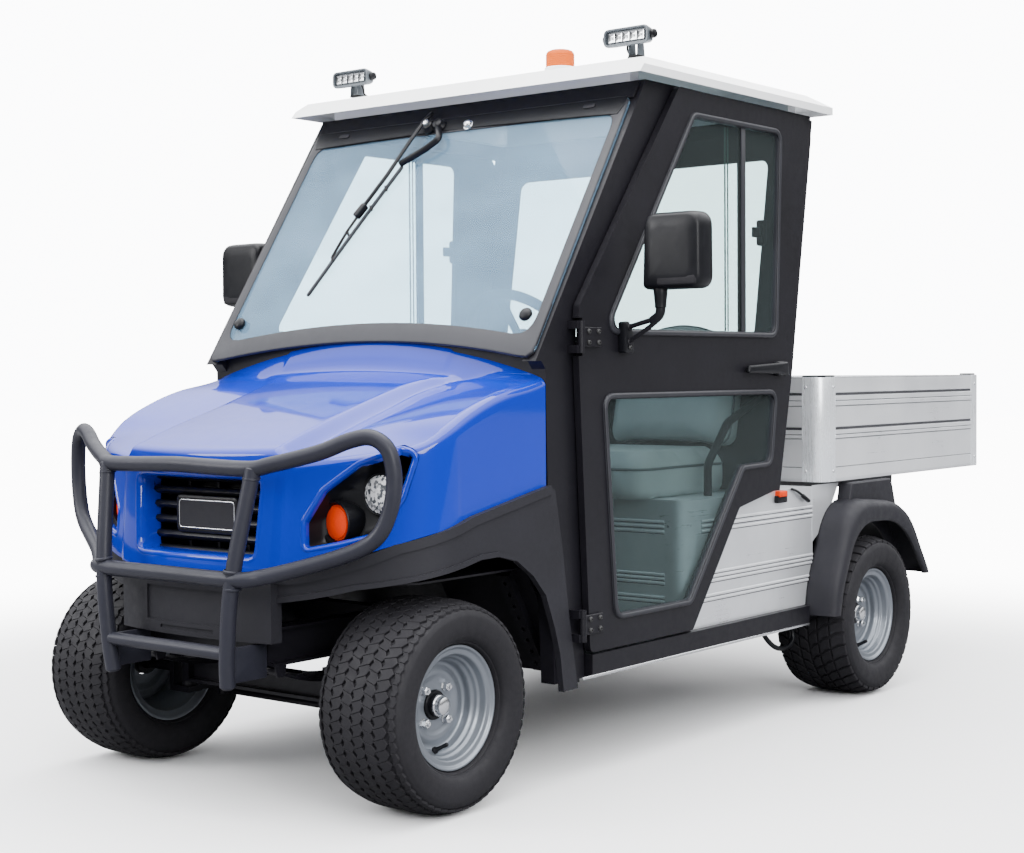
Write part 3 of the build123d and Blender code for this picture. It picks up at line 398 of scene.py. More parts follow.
def ringOf(obj, count, finishName, sharp=30):
    return repeated(obj, "ring", count, (2 * math.pi / count, 0, 0), finishName, sharp)


tyreShape = {"radius": 0.252, "grooveDepth": 0.006}
frontTread = {"pitches": 58, "ribs": 6, "reach": 0.098, "groove": 0.0046, "zigzag": 0.0042, "sipe": 0.0011,
              "slant": 0.34}
rearTread = {"pitches": 38, "sipe": 0.009}


def crownRadius(x):
    out = max(abs(x) - 0.045, 0.0)
    return tyreShape["radius"] - 0.0105 * (out / 0.06) ** 2


def onTyre(x, angle, sink=0.0):
    r = crownRadius(x) - sink
    return (x, r * math.sin(angle), r * math.cos(angle))


def treadBlock(verts, faces, ring, depth, edge):
    # ring holds (x, angle) corners; the block has a softened top edge
    start, count = len(verts), len(ring)
    midX = sum(x for x, a in ring) / count
    midA = sum(a for x, a in ring) / count
    inner = []
    for x, a in ring:
        reach = math.hypot(x - midX, (a - midA) * tyreShape["radius"])
        share = max(1 - edge / reach, 0.3)
        inner.append((midX + (x - midX) * share, midA + (a - midA) * share))
    for sink, corners in ((depth + 0.001, ring), (edge * 0.8, ring), (0.0, inner)):
        verts += [onTyre(x, a, sink) for x, a in corners]
    for level in (0, 1):
        low, high = start + level * count, start + (level + 1) * count
        for i in range(count):
            j = (i + 1) % count
            faces.append((low + i, low + j, high + j, high + i))
    faces.append(tuple(start + 2 * count + i for i in range(count)))


def frontTreadMesh():
    t, verts, faces = frontTread, [], []
    pitch = 2 * math.pi / t["pitches"]
    width = 2 * t["reach"] / t["ribs"]
    sipe = t["sipe"] / tyreShape["radius"]
    for rib in range(t["ribs"]):
        left = -t["reach"] + rib * width + t["groove"] / 2
        right = left + width - t["groove"]
        lean = t["slant"] * pitch * (1 if rib % 2 else -1)
        z = t["zigzag"]
        ring = [(left - z, 0), (right - z, lean), (right + z, lean + pitch / 2), (right - z, lean + pitch - sipe),
                (left - z, pitch - sipe), (left + z, pitch / 2)]
        treadBlock(verts, faces, ring, tyreShape["grooveDepth"], 0.001)
    for side in (-1, 1):    # saw-toothed shoulders
        near, far = side * (t["reach"] + 0.0045), side * 0.1135
        ring = [(near, 0), (near + side * 0.004, pitch * 0.5), (near, pitch - sipe), (far, pitch - sipe),
                (far + side * 0.004, pitch * 0.4), (far, 0.0)]
        treadBlock(verts, faces, ring, 0.005, 0.0008)
    return meshObject("frontTread", verts, faces, "tyreRubber")


def rearTreadMesh():
    t, verts, faces = rearTread, [], []
    pitch = 2 * math.pi / t["pitches"]
    gap = t["sipe"] / tyreShape["radius"]
    rows = [(0.003, 0.030, 0.0, 0.42), (0.036, 0.070, 0.5, 0.5), (0.075, 0.116, 0.05, 0.34)]
    for side in (-1, 1):
        for near, far, offset, lean in rows:
            base = pitch * offset + (pitch / 2 if side > 0 else 0)
            bend = lean * pitch
            long = pitch - gap
            mid = (near + far) / 2
            ring = [(side * near, base), (side * mid, base + bend * 0.75), (side * far, base + bend),
                    (side * far, base + bend + long), (side * mid, base + bend * 0.75 + long),
                    (side * near, base + long)]
            treadBlock(verts, faces, ring, 0.008, 0.0016)
    return meshObject("rearTread", verts, faces, "tyreRubber")


def tyreBody(depth):
    crown = [(x / 1000, crownRadius(x / 1000) - depth) for x in range(0, 111, 10)]
    side = [(0.1165, 0.2315 - depth * 0.4), (0.1195, 0.2255), (0.1205, 0.2225), (0.1228, 0.2195), (0.1238, 0.213),
            (0.1246, 0.204), (0.1243, 0.190), (0.1228, 0.178), (0.1222, 0.1765), (0.1216, 0.1745),
            (0.1195, 0.168), (0.1150, 0.1615), (0.1075, 0.1565), (0.1035, 0.1555), (0.1025, 0.1525),
            (0.0975, 0.1500), (0.0900, 0.1490), (0.0880, 0.140), (0.0875, 0.1290)]
    half = crown + side
    profile = [(-x, r) for x, r in reversed(half[1:])] + half
    return turnedShape("tyreBody", profile, "tyreRubber", steps=116, sharp=40)


def rimShape():
    face = [(0.0880, 0.1468), (0.0925, 0.1470), (0.0952, 0.1462), (0.0960, 0.1440), (0.0952, 0.1415),
            (0.0925, 0.1392), (0.0895, 0.1375), (0.0880, 0.1345), (0.0876, 0.1275), (0.0862, 0.1245),
            (0.0830, 0.1228), (0.0700, 0.1215), (0.0672, 0.1195), (0.0658, 0.1165), (0.0640, 0.1150),
            (0.0600, 0.1140), (0.0560, 0.1125), (0.0535, 0.1085), (0.0500, 0.1062), (0.0430, 0.1055),
            (0.0360, 0.1050), (0.0325, 0.1030), (0.0305, 0.0985), (0.0310, 0.0920), (0.0345, 0.0850),
            (0.0352, 0.0780), (0.0335, 0.0700), (0.0300, 0.0640), (0.0290, 0.0560), (0.0290, 0.0360)]
    hidden = [(0.0255, 0.0360), (0.0255, 0.0560), (0.0260, 0.0660), (0.0300, 0.0780), (0.0300, 0.0860),
              (0.0265, 0.0930), (0.0260, 0.1010), (0.0290, 0.1075), (-0.040, 0.1080), (-0.052, 0.1190),
              (-0.086, 0.1235), (-0.092, 0.1375), (-0.096, 0.1410), (-0.096, 0.1470), (-0.089, 0.1470),
              (-0.086, 0.1300), (-0.058, 0.1245), (-0.044, 0.1130), (0.044, 0.1110), (0.058, 0.1200),
              (0.060, 0.1245), (0.085, 0.1290)]
    return turnedShape("rim", face + hidden, "silverSteel", steps=96, sharp=50)


def hexNut(name, spot, radius, height, finishName, cone=0.0):
    # nut on an X-facing seat, with a domed stud end
    verts, faces = [], []
    levels = [(0.0, radius * (1.25 if cone else 1.0)), (cone, radius), (height - radius * 0.12, radius),
              (height, radius * 0.86)]
    for x, r in levels:
        for i in range(6):
            a = math.pi / 3 * i
            verts.append((x, r * math.cos(a), r * math.sin(a)))
    for level in range(len(levels) - 1):
        for i in range(6):
            j = (i + 1) % 6
            faces.append((level * 6 + i, level * 6 + j, level * 6 + 6 + j, level * 6 + 6 + i))
    top = (len(levels) - 1) * 6
    for x, r, steps in ((height, radius * 0.5, 6), (height + radius * 0.5, radius * 0.42, 6)):
        for i in range(steps):
            a = math.pi / 3 * i
            verts.append((x, r * math.cos(a), r * math.sin(a)))
    for low in (top, top + 6):
        for i in range(6):
            j = (i + 1) % 6
            faces.append((low + i, low + j, low + 6 + j, low + 6 + i))
    faces.append(tuple(range(top + 12, top + 18)))
    faces.append(tuple(reversed(range(6))))
    obj = meshObject(name, verts, faces, finishName)
    moved(obj, Matrix.Translation(spot))
    tidyMesh(obj)
    shade(obj, 25)
    return obj


def wheelSet(rear):
    tread = rearTreadMesh() if rear else frontTreadMesh()
    count = (rearTread if rear else frontTread)["pitches"]
    ringOf(tread, count, "tyreRubber", 30)
    body = tyreBody(0.0075 if rear else tyreShape["grooveDepth"])
    tyre = joined("tyre", [body, tread])
    rim = rimShape()
    hub = turnedShape("hub", [(0.0100, 0.0340), (0.0330, 0.0352), (0.0350, 0.0335), (0.0352, 0.0275),
                              (0.0480, 0.0260), (0.0490, 0.0200), (0.0100, 0.0200)], "blackPlastic", 40)
    cap = turnedShape("cap", [(0.0350, 0.0265), (0.0470, 0.0262), (0.0486, 0.0248), (0.0496, 0.0226),
                              (0.0590, 0.0222), (0.0625, 0.0205), (0.0648, 0.0160), (0.0660, 0.0085),
                              (0.0662, 0.0001), (0.0350, 0.0001)], "brightMetal", 40)
    nuts = hexNut("nuts", (0.0292, 0.0, 0.0545), 0.0105, 0.0150, "brightMetal", 0.003)
    moved(nuts, Matrix.Rotation(math.radians(45), 4, "X"))
    ringOf(nuts, 4, "brightMetal", 25)
    valve = turnedShape("valve", [(-0.004, 0.0001), (-0.004, 0.0085), (0.002, 0.0085), (0.006, 0.0055),
                                  (0.024, 0.0045), (0.026, 0.0052), (0.036, 0.0052), (0.038, 0.004),
                                  (0.038, 0.0001)], "blackPlastic", 16)
    turn = Matrix.Rotation(math.radians(-14), 4, "X") @ Matrix.Translation((0.054, 0, -0.103))
    moved(valve, turn @ Matrix.Rotation(math.radians(-28), 4, "Y"))
    return {"tyre": tyre, "rim": rim, "hub": hub, "cap": cap, "nuts": nuts, "valve": valve}


def addWheels():
    slots = {"tyre": "tyre", "rim": "silver_steel", "hub": "black_steel", "cap": "silver_steel",
             "nuts": "silver_steel", "valve": "black_plastic"}
    for axle in ("front", "rear"):
        patterns = wheelSet(axle == "rear")
        for side in ("left", "right"):
            low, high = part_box("tyre_" + axle + "_" + side)
            centre = (low + high) / 2
            centre.z = tyreShape["radius"]
            flip = Matrix.Diagonal((1 if side == "left" else -1, 1, 1, 1))
            for part, pattern in patterns.items():
                name = part + axle.capitalize() + side.capitalize()
                piece = copyOf(pattern, name, Matrix.Translation(centre) @ flip)
                node = {"tyre": "tyre_", "rim": "wheel_"}.get(part)
                stands = [node + axle + "_" + side] if node else []
                mount(piece, "wheel_" + axle + "_" + side, slots[part], *stands)
        for pattern in patterns.values():
            remove(pattern)
    print("wheels made")


axleY = (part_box("tyre_front_left")[0].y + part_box("tyre_front_left")[1].y) / 2

cowlShape = {
    "half": 0.6, "bulge": 0.288, "sideY": 0.020, "rearY": 0.345, "corner": 0.026, "wall": 0.003, "proud": 0.006,
    "middle": [(-0.275, 0.842), (-0.24, 0.861), (-0.15, 0.897), (-0.06, 0.926), (0.1, 0.976), (0.216, 1.012),
               (0.285, 1.031), (0.31, 1.046), (0.345, 1.110)],
    "droop": [(0.28, 0.007), (0.345, 0.0165)],
    "wing": [(-0.25, 0.820), (-0.06, 0.885), (0.1, 0.938), (0.2, 0.972), (0.285, 1.000), (0.31, 1.012),
             (0.345, 1.080)],
    "shoulder": [(-0.28, 0.765), (-0.17, 0.823), (-0.06, 0.872), (0.0, 0.914), (0.091, 0.957), (0.185, 0.987),
                 (0.285, 1.005), (0.345, 1.018)],
    "panelEdge": [(-0.3, 0.250), (0.19, 0.250), (0.25, 0.265), (0.28, 0.290), (0.30, 0.318), (0.318, 0.372),
                  (0.328, 0.455), (0.345, 0.56)],
    "panelFoot": [(-0.3, 0.285), (0.17, 0.285), (0.24, 0.296), (0.28, 0.326), (0.30, 0.362), (0.318, 0.425),
                  (0.328, 0.500), (0.345, 0.60)],
    "seam": [(-0.3, 0.552), (-0.25, 0.560), (-0.137, 0.634), (0.047, 0.690), (0.300, 0.738), (0.352, 0.746)],
}


def cowlHeight():
    c = cowlShape
    middle, droop = smoothCurve(c["middle"]), smoothCurve(c["droop"])
    wing, shoulder = smoothCurve(c["wing"]), smoothCurve(c["shoulder"])
    edge, foot = smoothCurve(c["panelEdge"]), smoothCurve(c["panelFoot"])

    def read(x, y):
        across = abs(x)
        low = 0.007 if y < 0.28 else droop(y)
        panel = middle(y) - low * (across / 0.25) ** 2
        share = min(max((across - 0.285) / 0.3, 0.0), 1.0)
        side = wing(y) + (shoulder(y) - wing(y)) * share + 0.006 * math.sin(math.pi * share)
        near, far = edge(y), foot(y)
        t = min(max((far - across) / max(far - near, 0.01), 0.0), 1.0)
        t = 0.5 * t + 0.5 * ease(t)
        z = side + (panel - side) * t
        z += 0.006 * ease((y - 0.317) / 0.007) * ease((0.306 - across) / 0.014)
        return z
    return read


def cowlSkin():
    c, height = cowlShape, cowlHeight()
    seam, r = smoothCurve(c["seam"]), c["corner"]
    half, bulge = c["half"] - r, c["bulge"] - r
    turns = 74
    columns = [half * math.sin(math.pi / 2 * (2 * i / turns - 1)) for i in range(turns + 1)]
    for extra in (0.2425, 0.2475, 0.2525, 0.259, 0.267, 0.275, 0.2825, 0.2885, 0.295, 0.301, 0.308, 0.32):
        columns += [extra, -extra]
    columns = sorted(columns)
    columns = [x for i, x in enumerate(columns) if i == 0 or x - columns[i - 1] > 0.0012]
    rearRows = [0.16 + i * 0.0185 for i in range(6)] + [0.262 + i * 0.0055 for i in range(15)] + [c["rearY"]]
    frontRows = 26
    grid = []
    for x in columns:
        inside = math.sqrt(max(1 - (x / half) ** 2, 0.0))
        yStart = c["sideY"] - bulge * inside
        line = []
        for j in range(frontRows):
            y = yStart + (rearRows[0] - yStart) * (j / frontRows) ** 1.25
            line.append((x, y, height(x, y)))
        grid.append(line + [(x, y, height(x, y)) for y in rearRows])
    verts, faces, rows = [v for line in grid for v in line], [], frontRows + len(rearRows)
    for i in range(len(columns) - 1):
        for j in range(rows - 1):
            a = i * rows + j
            faces.append((a, a + rows, a + rows + 1, a + 1))
    rim = [(0, j) for j in range(rows - 1, 0, -1)] + [(i, 0) for i in range(len(columns))]
    rim += [(len(columns) - 1, j) for j in range(1, rows)]
    spots = [Vector(grid[i][j]) for i, j in rim]
    loops = [[i * rows + j for i, j in rim]]
    outward = []
    for p in spots:
        if p.y >= c["sideY"] - 1e-6:
            outward.append(Vector((1 if p.x > 0 else -1, 0, 0)))
        else:
            outward.append(Vector((p.x / half**2, (p.y - c["sideY"]) / bulge**2, 0)).normalized())
    bends, drops = 7, 16
    for k in range(1, bends + drops + 1):
        loop = []
        for p, out in zip(spots, outward):
            step = p - out * 0.004
            tilt = math.atan2(p.z - height(step.x, min(step.y, c["rearY"])), 0.004)
            tilt = max(min(tilt, 0.6), -0.9)
            if k <= bends:
                a = tilt - (tilt + math.pi / 2) * k / bends
                reach = r * (math.sin(tilt) - math.sin(a)) / (1 + math.sin(tilt))
                fall = r * (math.cos(a) - math.cos(tilt))
                q = p + out * reach + Vector((0, 0, fall))
            else:
                top = p + out * r - Vector((0, 0, r * math.cos(tilt)))
                low = seam(top.y)
                share = (k - bends) / drops
                lean = 0.018 * max(-out.y, 0.0) * share
                q = top + out * lean
                q.z = top.z + (low - top.z) * share
            if out.y < -0.3:    # the middle of the nose stands a little proud
                rise = ease((0.300 - abs(q.x)) / 0.016) * ease((0.875 - q.z) / 0.03)
                q += out * c["proud"] * rise
            loop.append(len(verts))
            verts.append(tuple(q))
        loops.append(loop)
    for upper, lower in zip(loops, loops[1:]):
        for i in range(len(upper) - 1):
            faces.append((upper[i], lower[i], lower[i + 1], upper[i + 1]))
    skin = meshObject("cowlSkin", verts, faces, "bluePaint")
    moved(skin, Matrix.Translation((0, axleY, 0)))
    tidyMesh(skin)
    outwardFaces(skin)
    return skin


def outwardFaces(obj):    # an open skin: its faces must look away from its own middle
    middle = sum((v.co for v in obj.data.vertices), Vector()) / len(obj.data.vertices)
    facing = sum((f.center - middle).dot(f.normal) * f.area for f in obj.data.polygons)
    if facing < 0:
        obj.data.flip_normals()


def roundedRing(points, corner, steps=6):    # 2D ring with rounded corners
    ring = []
    count = len(points)
    for i in range(count):
        before, here, after = (Vector(points[k % count]) for k in (i - 1, i, i + 1))
        size = corner[i] if isinstance(corner, (list, tuple)) else corner
        one, two = (before - here).normalized(), (after - here).normalized()
        cut = size / math.tan(one.angle(two) / 2)
        start, end = here + one * cut, here + two * cut
        for s in range(steps + 1):
            t = s / steps
            ring.append((1 - t) ** 2 * start + 2 * t * (1 - t) * here + t * t * end)
    return ring


def evenRing(ring, gap):    # the same closed ring with points an even distance apart
    count = len(ring)
    lengths = [(ring[(i + 1) % count] - ring[i]).length for i in range(count)]
    total = sum(lengths)
    steps = max(int(total / gap), 8)
    out, i, passed = [], 0, 0.0
    for s in range(steps):
        target = total * s / steps
        while passed + lengths[i] < target:
            passed += lengths[i]
            i += 1
        t = (target - passed) / max(lengths[i], 1e-9)
        out.append(ring[i].lerp(ring[(i + 1) % count], t))
    return out


def prism(name, ring, yLow, yHigh):    # ring of (x, z) drawn out along Y
    count = len(ring)
    verts = [(p[0], yLow, p[1]) for p in ring] + [(p[0], yHigh, p[1]) for p in ring]
    faces = [(i, (i + 1) % count, (i + 1) % count + count, i + count) for i in range(count)]
    faces += [tuple(reversed(range(count))), tuple(range(count, 2 * count))]
    obj = meshObject(name, verts, faces)
    tidyMesh(obj)
    return obj


def cutWith(obj, cutters):
    for cutter in cutters:
        modify(obj, "BOOLEAN", operation="DIFFERENCE", solver="EXACT", object=cutter)
    settle(obj)
    for cutter in cutters:
        remove(cutter)


def ontoSkin(tree, x, z):    # the front of the skin at (x, z)
    return tree.ray_cast(Vector((x, -3.0, z)), Vector((0, 1, 0)))[:2]


def holeBorder(name, tree, ring, profile, finishName):
    # a rolled border along a hole: profile of (inward, outward off the skin)
    spots = [ontoSkin(tree, p[0], p[1]) for p in ring]
    count, verts, faces = len(spots), [], []
    middle = sum((s[0] for s in spots), Vector()) / count
    for i, (spot, normal) in enumerate(spots):
        along = (spots[(i + 1) % count][0] - spots[i - 1][0]).normalized()
        inward = normal.cross(along).normalized()
        if inward.dot(middle - spot) < 0:
            inward.negate()
        for deep, off in profile:
            verts.append(spot + inward * deep + normal * off)
    depth = len(profile)
    for i in range(count):
        j = (i + 1) % count
        for k in range(depth - 1):
            faces.append((i * depth + k, i * depth + k + 1, j * depth + k + 1, j * depth + k))
    obj = meshObject(name, verts, faces, finishName)
    tidyMesh(obj)
    shade(obj, 60)
    return obj


lampHole = {"ring": [(0.334, 0.622), (0.330, 0.690), (0.374, 0.764), (0.452, 0.826), (0.518, 0.864), (0.562, 0.852),
                     (0.540, 0.745), (0.500, 0.662), (0.420, 0.640)],
            "corners": [0.016, 0.020, 0.024, 0.024, 0.018, 0.026, 0.024, 0.030, 0.024]}
grilleHole = {"ring": [(-0.214, 0.594), (-0.229, 0.796), (0.229, 0.796), (0.214, 0.594)], "corners": 0.032}


def addCowl():
    skin = cowlSkin()
    tree = BVHTree.FromObject(skin, bpy.context.evaluated_depsgraph_get())
    rings = {"lampLeft": evenRing(roundedRing(lampHole["ring"], lampHole["corners"]), 0.006),
             "grille": evenRing(roundedRing(grilleHole["ring"], grilleHole["corners"], 4), 0.006)}
    rings["lampRight"] = [Vector((-p.x, p.y)) for p in reversed(rings["lampLeft"])]
    modify(skin, "SOLIDIFY", thickness=cowlShape["wall"], offset=-1.0)
    settle(skin)
    cutters = [prism("cutter" + key, ring, axleY - 0.5, axleY + 0.06) for key, ring in rings.items()]
    cutWith(skin, cutters)
    shade(skin, 38)
    rolled = [(-0.006, 0.0), (-0.003, 0.0022), (0.0, 0.0030), (0.003, 0.0022), (0.006, -0.0010), (0.0078, -0.0055),
              (0.0085, -0.016), (0.0055, -0.016), (-0.002, -0.0045)]
    flared = [(-0.006, -0.0002), (-0.002, 0.0012), (0.003, 0.0008), (0.007, -0.0018), (0.0095, -0.007),
              (0.0120, -0.022), (0.0135, -0.038), (0.0140, -0.060), (0.0115, -0.060), (0.0090, -0.022),
              (0.004, -0.006)]
    borders = []
    for key, ring in rings.items():
        profile = flared if key == "grille" else rolled
        borders.append(holeBorder("border" + key, tree, ring, profile, "bluePaint"))
    cowl = joined("cowlShell", [skin] + borders)
    mount(cowl, "chassis", "blue_paint", "cowl")
    print("cowl made:", len(cowl.data.polygons), "faces")
    return tree, rings


addWheels()
skinTree, cowlRings = addCowl()


def spot(x, y, z):    # millimetres, with y counted from the front axle
    return Vector((x, y, z)) / 1000 + Vector((0, axleY, 0))


def faceFrame(origin, right, up):
    right, up = Vector(right).normalized(), Vector(up).normalized()
    out = right.cross(up)
    matrix = Matrix((right, up, out)).transposed().to_4x4()
    matrix.translation = origin
    return matrix


def sidePlace(x, side=1):    # an upright plane at x, seen from that side
    return faceFrame(Vector((x, 0, 0)), (0, side, 0), (0, 0, 1))


def facing(origin, direction):    # takes a shape turned about X to look along a direction
    matrix = Vector(direction).to_track_quat("X", "Z").to_matrix().to_4x4()
    matrix.translation = origin
    return matrix


def loopsMesh(name, loops, finishName, sharp=35, caps=(True, True), closed=False):
    # closed loops with as many points each, joined in order
    verts = [v for loop in loops for v in loop]
    count, faces = len(loops[0]), []
    last = len(loops) if closed else len(loops) - 1
    for level in range(last):
        low, high = level * count, (level + 1) % len(loops) * count
        for i in range(count):
            j = (i + 1) % count
            faces.append((low + i, low + j, high + j, high + i))
    if not closed:
        for wanted, base in zip(caps, (0, (len(loops) - 1) * count)):
            if wanted:
                middle = sum((Vector(v) for v in verts[base:base + count]), Vector()) / count
                verts.append(middle)
                faces += [(base + i, base + (i + 1) % count, len(verts) - 1) for i in range(count)]
    obj = meshObject(name, verts, faces, finishName)
    tidyMesh(obj)
    shade(obj, sharp)
    return obj


def inset(ring, distance):    # moves a counter-clockwise ring inwards
    out = []
    for i, here in enumerate(ring):
        before, after = ring[i - 1], ring[(i + 1) % len(ring)]
        one, two = (here - before).normalized(), (after - here).normalized()
        along = (one + two).normalized()
        turn = max(one.dot(along), 0.5)
        out.append(here + Vector((-along.y, along.x)) * distance / turn)
    return out


def counterClockwise(ring):
    area = sum(ring[i - 1].x * ring[i].y - ring[i].x * ring[i - 1].y for i in range(len(ring)))
    return ring if area > 0 else ring[::-1]


def slab(name, ring, place, profile, finishName, sharp=32):
    # flat piece: its outline is drawn in by each (inset, height) of the profile
    ring = counterClockwise([Vector(p) for p in ring])
    loops = [[place @ Vector((p.x, p.y, high)) for p in inset(ring, deep)] for deep, high in profile]
    return loopsMesh(name, loops, finishName, sharp)


def trimRing(name, ring, place, profile, finishName, sharp=45):
    ring = counterClockwise([Vector(p) for p in ring])
    loops = [[place @ Vector((p.x, p.y, high)) for p in inset(ring, deep)] for deep, high in profile]
    return loopsMesh(name, loops, finishName, sharp, closed=True)


def softEdge(thick, edge, low=0.0):    # a slab's profile with rounded rims
    return [(edge, low), (edge * 0.3, low + edge * 0.3), (0, low + edge), (0, low + thick - edge),
            (edge * 0.3, low + thick - edge * 0.3), (edge, low + thick)]


def rectangle(width, height, corner, steps=6, middle=(0, 0)):
    w, h, (a, b) = width / 2, height / 2, middle
    return roundedRing([(a - w, b - h), (a + w, b - h), (a + w, b + h), (a - w, b + h)], corner, steps)


def bentLine(points, radius, steps=6):    # rounds the inner corners of a line
    points = [Vector(p) for p in points]
    line = [points[0]]
    for before, here, after in zip(points, points[1:], points[2:]):
        one, two = before - here, after - here
        cut = min(radius, one.length * 0.49, two.length * 0.49)
        start, end = here + one.normalized() * cut, here + two.normalized() * cut
        for s in range(steps + 1):
            t = s / steps
            line.append((1 - t) ** 2 * start + 2 * t * (1 - t) * here + t * t * end)
    return line + [points[-1]]


def tube(name, line, radius, finishName, steps=14, flat=1.0):
    # a bar along a line; flat squeezes its section
    loops, side = [], None
    for i, here in enumerate(line):
        along = (line[min(i + 1, len(line) - 1)] - line[max(i - 1, 0)]).normalized()
        if side is None:
            side = along.cross(Vector((0.12, 0.05, 1))).normalized()
        side = (side - along * side.dot(along)).normalized()
        other = along.cross(side)
        loops.append([here + side * radius * math.cos(2 * math.pi * k / steps)
                      + other * radius * flat * math.sin(2 * math.pi * k / steps) for k in range(steps)])
    ends = []
    for near, far, order in ((line[0], line[1], -1), (line[-1], line[-2], 1)):
        out = (near - far).normalized() * radius * 0.3
        loop = loops[0] if order < 0 else loops[-1]
        ends.append([near + (v - near) * 0.7 + out for v in loop])
    return loopsMesh(name, [ends[0]] + loops + [ends[1]], finishName, 40)


def polarRing(ring, middle, steps):    # points of a ring at even angles about a middle
    out, count = [], len(ring)
    for s in range(steps):
        a = 2 * math.pi * s / steps
        ray = Vector((math.cos(a), math.sin(a)))
        best = 0.0
        for i in range(count):
            p, q = ring[i] - middle, ring[(i + 1) % count] - middle
            edge = q - p
            cross = ray.x * edge.y - ray.y * edge.x
            if abs(cross) < 1e-12:
                continue
            reach = (p.x * edge.y - p.y * edge.x) / cross
            t = (p.x * ray.y - p.y * ray.x) / cross
            if -1e-6 <= t <= 1 + 1e-6 and reach > best:
                best = reach
        out.append(middle + ray * best)
    return out


def partOfNode(name, node, keep, finishName):    # a merged copy of some of a CAD node's faces
    obj = copyOf(nodes[node], name)
    mesh = bmesh.new()
    mesh.from_mesh(obj.data)
    lost = [v for v in mesh.verts if not keep(v.co)]
    bmesh.ops.delete(mesh, geom=lost, context="VERTS")
    mesh.to_mesh(obj.data)
    mesh.free()
    tidyMesh(obj)
    obj.data.materials.clear()
    obj.data.materials.append(finish[finishName])
    shade(obj, 30)
    return obj


def mirrored(obj, name):
    return copyOf(obj, name, Matrix.Diagonal((-1, 1, 1, 1)))


lampPod = {
    "amber": dict(at=(378, -162, 686), turn=-6, radius=0.043),
    "head": dict(at=(466, -104, 752), turn=11, radius=0.0465),
}


def lookOut(turn):
    a = math.radians(turn)
    return Vector((math.sin(a), -math.cos(a), 0.0))


def addLampPods():
    ring = cowlRings["lampLeft"]
    spots = [ontoSkin(skinTree, p.x, p.y)[0] for p in ring]
    middle = Vector((0.440, 0.745))
    loops = []
    for deep, drawn in ((0.004, -0.006), (0.010, -0.004), (0.030, 0.0), (0.055, 0.006), (0.072, 0.016),
                        (0.078, 0.034)):
        loop = []
        for v in spots:
            flat = Vector((v.x, v.z))
            flat = flat + (middle - flat).normalized() * drawn
            loop.append(Vector((flat.x, v.y + deep, flat.y)))
        loops.append(loop)
    parts = {"Pan": loopsMesh("pan", loops, "blackPlastic", 50, caps=(False, True))}
    outwardFaces(parts["Pan"])
    parts["Pan"].data.flip_normals()
    amber, head = lampPod["amber"], lampPod["head"]
    look = facing(spot(*amber["at"]), lookOut(amber["turn"]))
    r = amber["radius"]
    cup = [(-0.060, r * 0.9), (-0.030, r * 1.12), (0.004, r * 1.20), (0.010, r * 1.21), (0.012, r * 1.18),
           (0.011, r * 1.10), (0.004, r * 1.02), (-0.010, r * 1.0), (-0.020, r * 0.98), (-0.060, r * 0.8)]
    parts["AmberCup"] = moved(turnedShape("cup", cup, "blackPlastic", 48), look)
    lens = [(-0.012, 0.0001), (-0.012, r * 0.99), (0.001, r * 0.99), (0.003, r * 0.965), (0.003, r * 0.90),
            (0.006, r * 0.86), (0.009, r * 0.6), (0.0105, r * 0.3), (0.011, 0.0001)]
    parts["AmberLens"] = moved(turnedShape("lens", lens, "amberLens", 48), look)
    look = facing(spot(*head["at"]), lookOut(head["turn"]))
    r = head["radius"]
    rim = [(-0.030, r * 0.98), (-0.004, r * 1.06), (0.006, r * 1.07), (0.009, r * 1.04), (0.008, r * 1.0),
           (-0.004, r * 0.985), (-0.030, r * 0.93)]
    parts["HeadRim"] = moved(turnedShape("rim", rim, "blackPlastic", 56), look)
    bowl = [(0.000, r * 0.98), (-0.010, r * 0.90), (-0.010, r * 0.86), (-0.020, r * 0.74), (-0.020, r * 0.70),
            (-0.028, r * 0.52), (-0.033, r * 0.30), (-0.026, r * 0.28), (-0.026, 0.0001),
            (-0.040, 0.0001), (-0.036, r * 0.6), (-0.012, r * 0.98)]
    parts["HeadBowl"] = moved(turnedShape("bowl", bowl, "mirrorMetal", 22, sharp=5), look)
    bulb = [(-0.030, 0.0001), (-0.030, r * 0.17), (-0.008, r * 0.17), (-0.003, r * 0.10), (-0.002, 0.0001)]
    parts["HeadBulb"] = moved(turnedShape("bulb", bulb, "whitePlastic", 20), look)
    glass = [(0.003, r * 0.985), (0.007, r * 0.96), (0.0125, r * 0.72), (0.0155, r * 0.36), (0.0165, 0.0001),
             (0.0140, 0.0001), (0.0130, r * 0.36), (0.0100, r * 0.70), (0.0045, r * 0.94), (0.000, r * 0.97)]
    parts["HeadLens"] = moved(turnedShape("glass", glass, "headGlass", 48), look)
    slots = {"AmberLens": "lamp_glass", "HeadLens": "lamp_glass", "HeadBowl": "silver_steel",
             "HeadBulb": "white_plastic"}
    for key, part in parts.items():
        other = mirrored(part, "lamp" + key + "Right")
        part.name = "lamp" + key + "Left"
        stands = {"Pan": ["lamp_housings"], "HeadLens": ["front_lamps"]}.get(key, [])
        mount(part, "chassis", slots.get(key, "black_plastic"), *stands)
        mount(other, "chassis", slots.get(key, "black_plastic"), *stands)
    print("front lamps made")


grilleShape = {"half": 0.2105, "slats": 6, "topZ": 783, "step": 0.0368, "frontY": -222, "backY": -168,
               "plate": (0.222, 0.092, 0.016), "plateZ": 692, "plateY": -226}


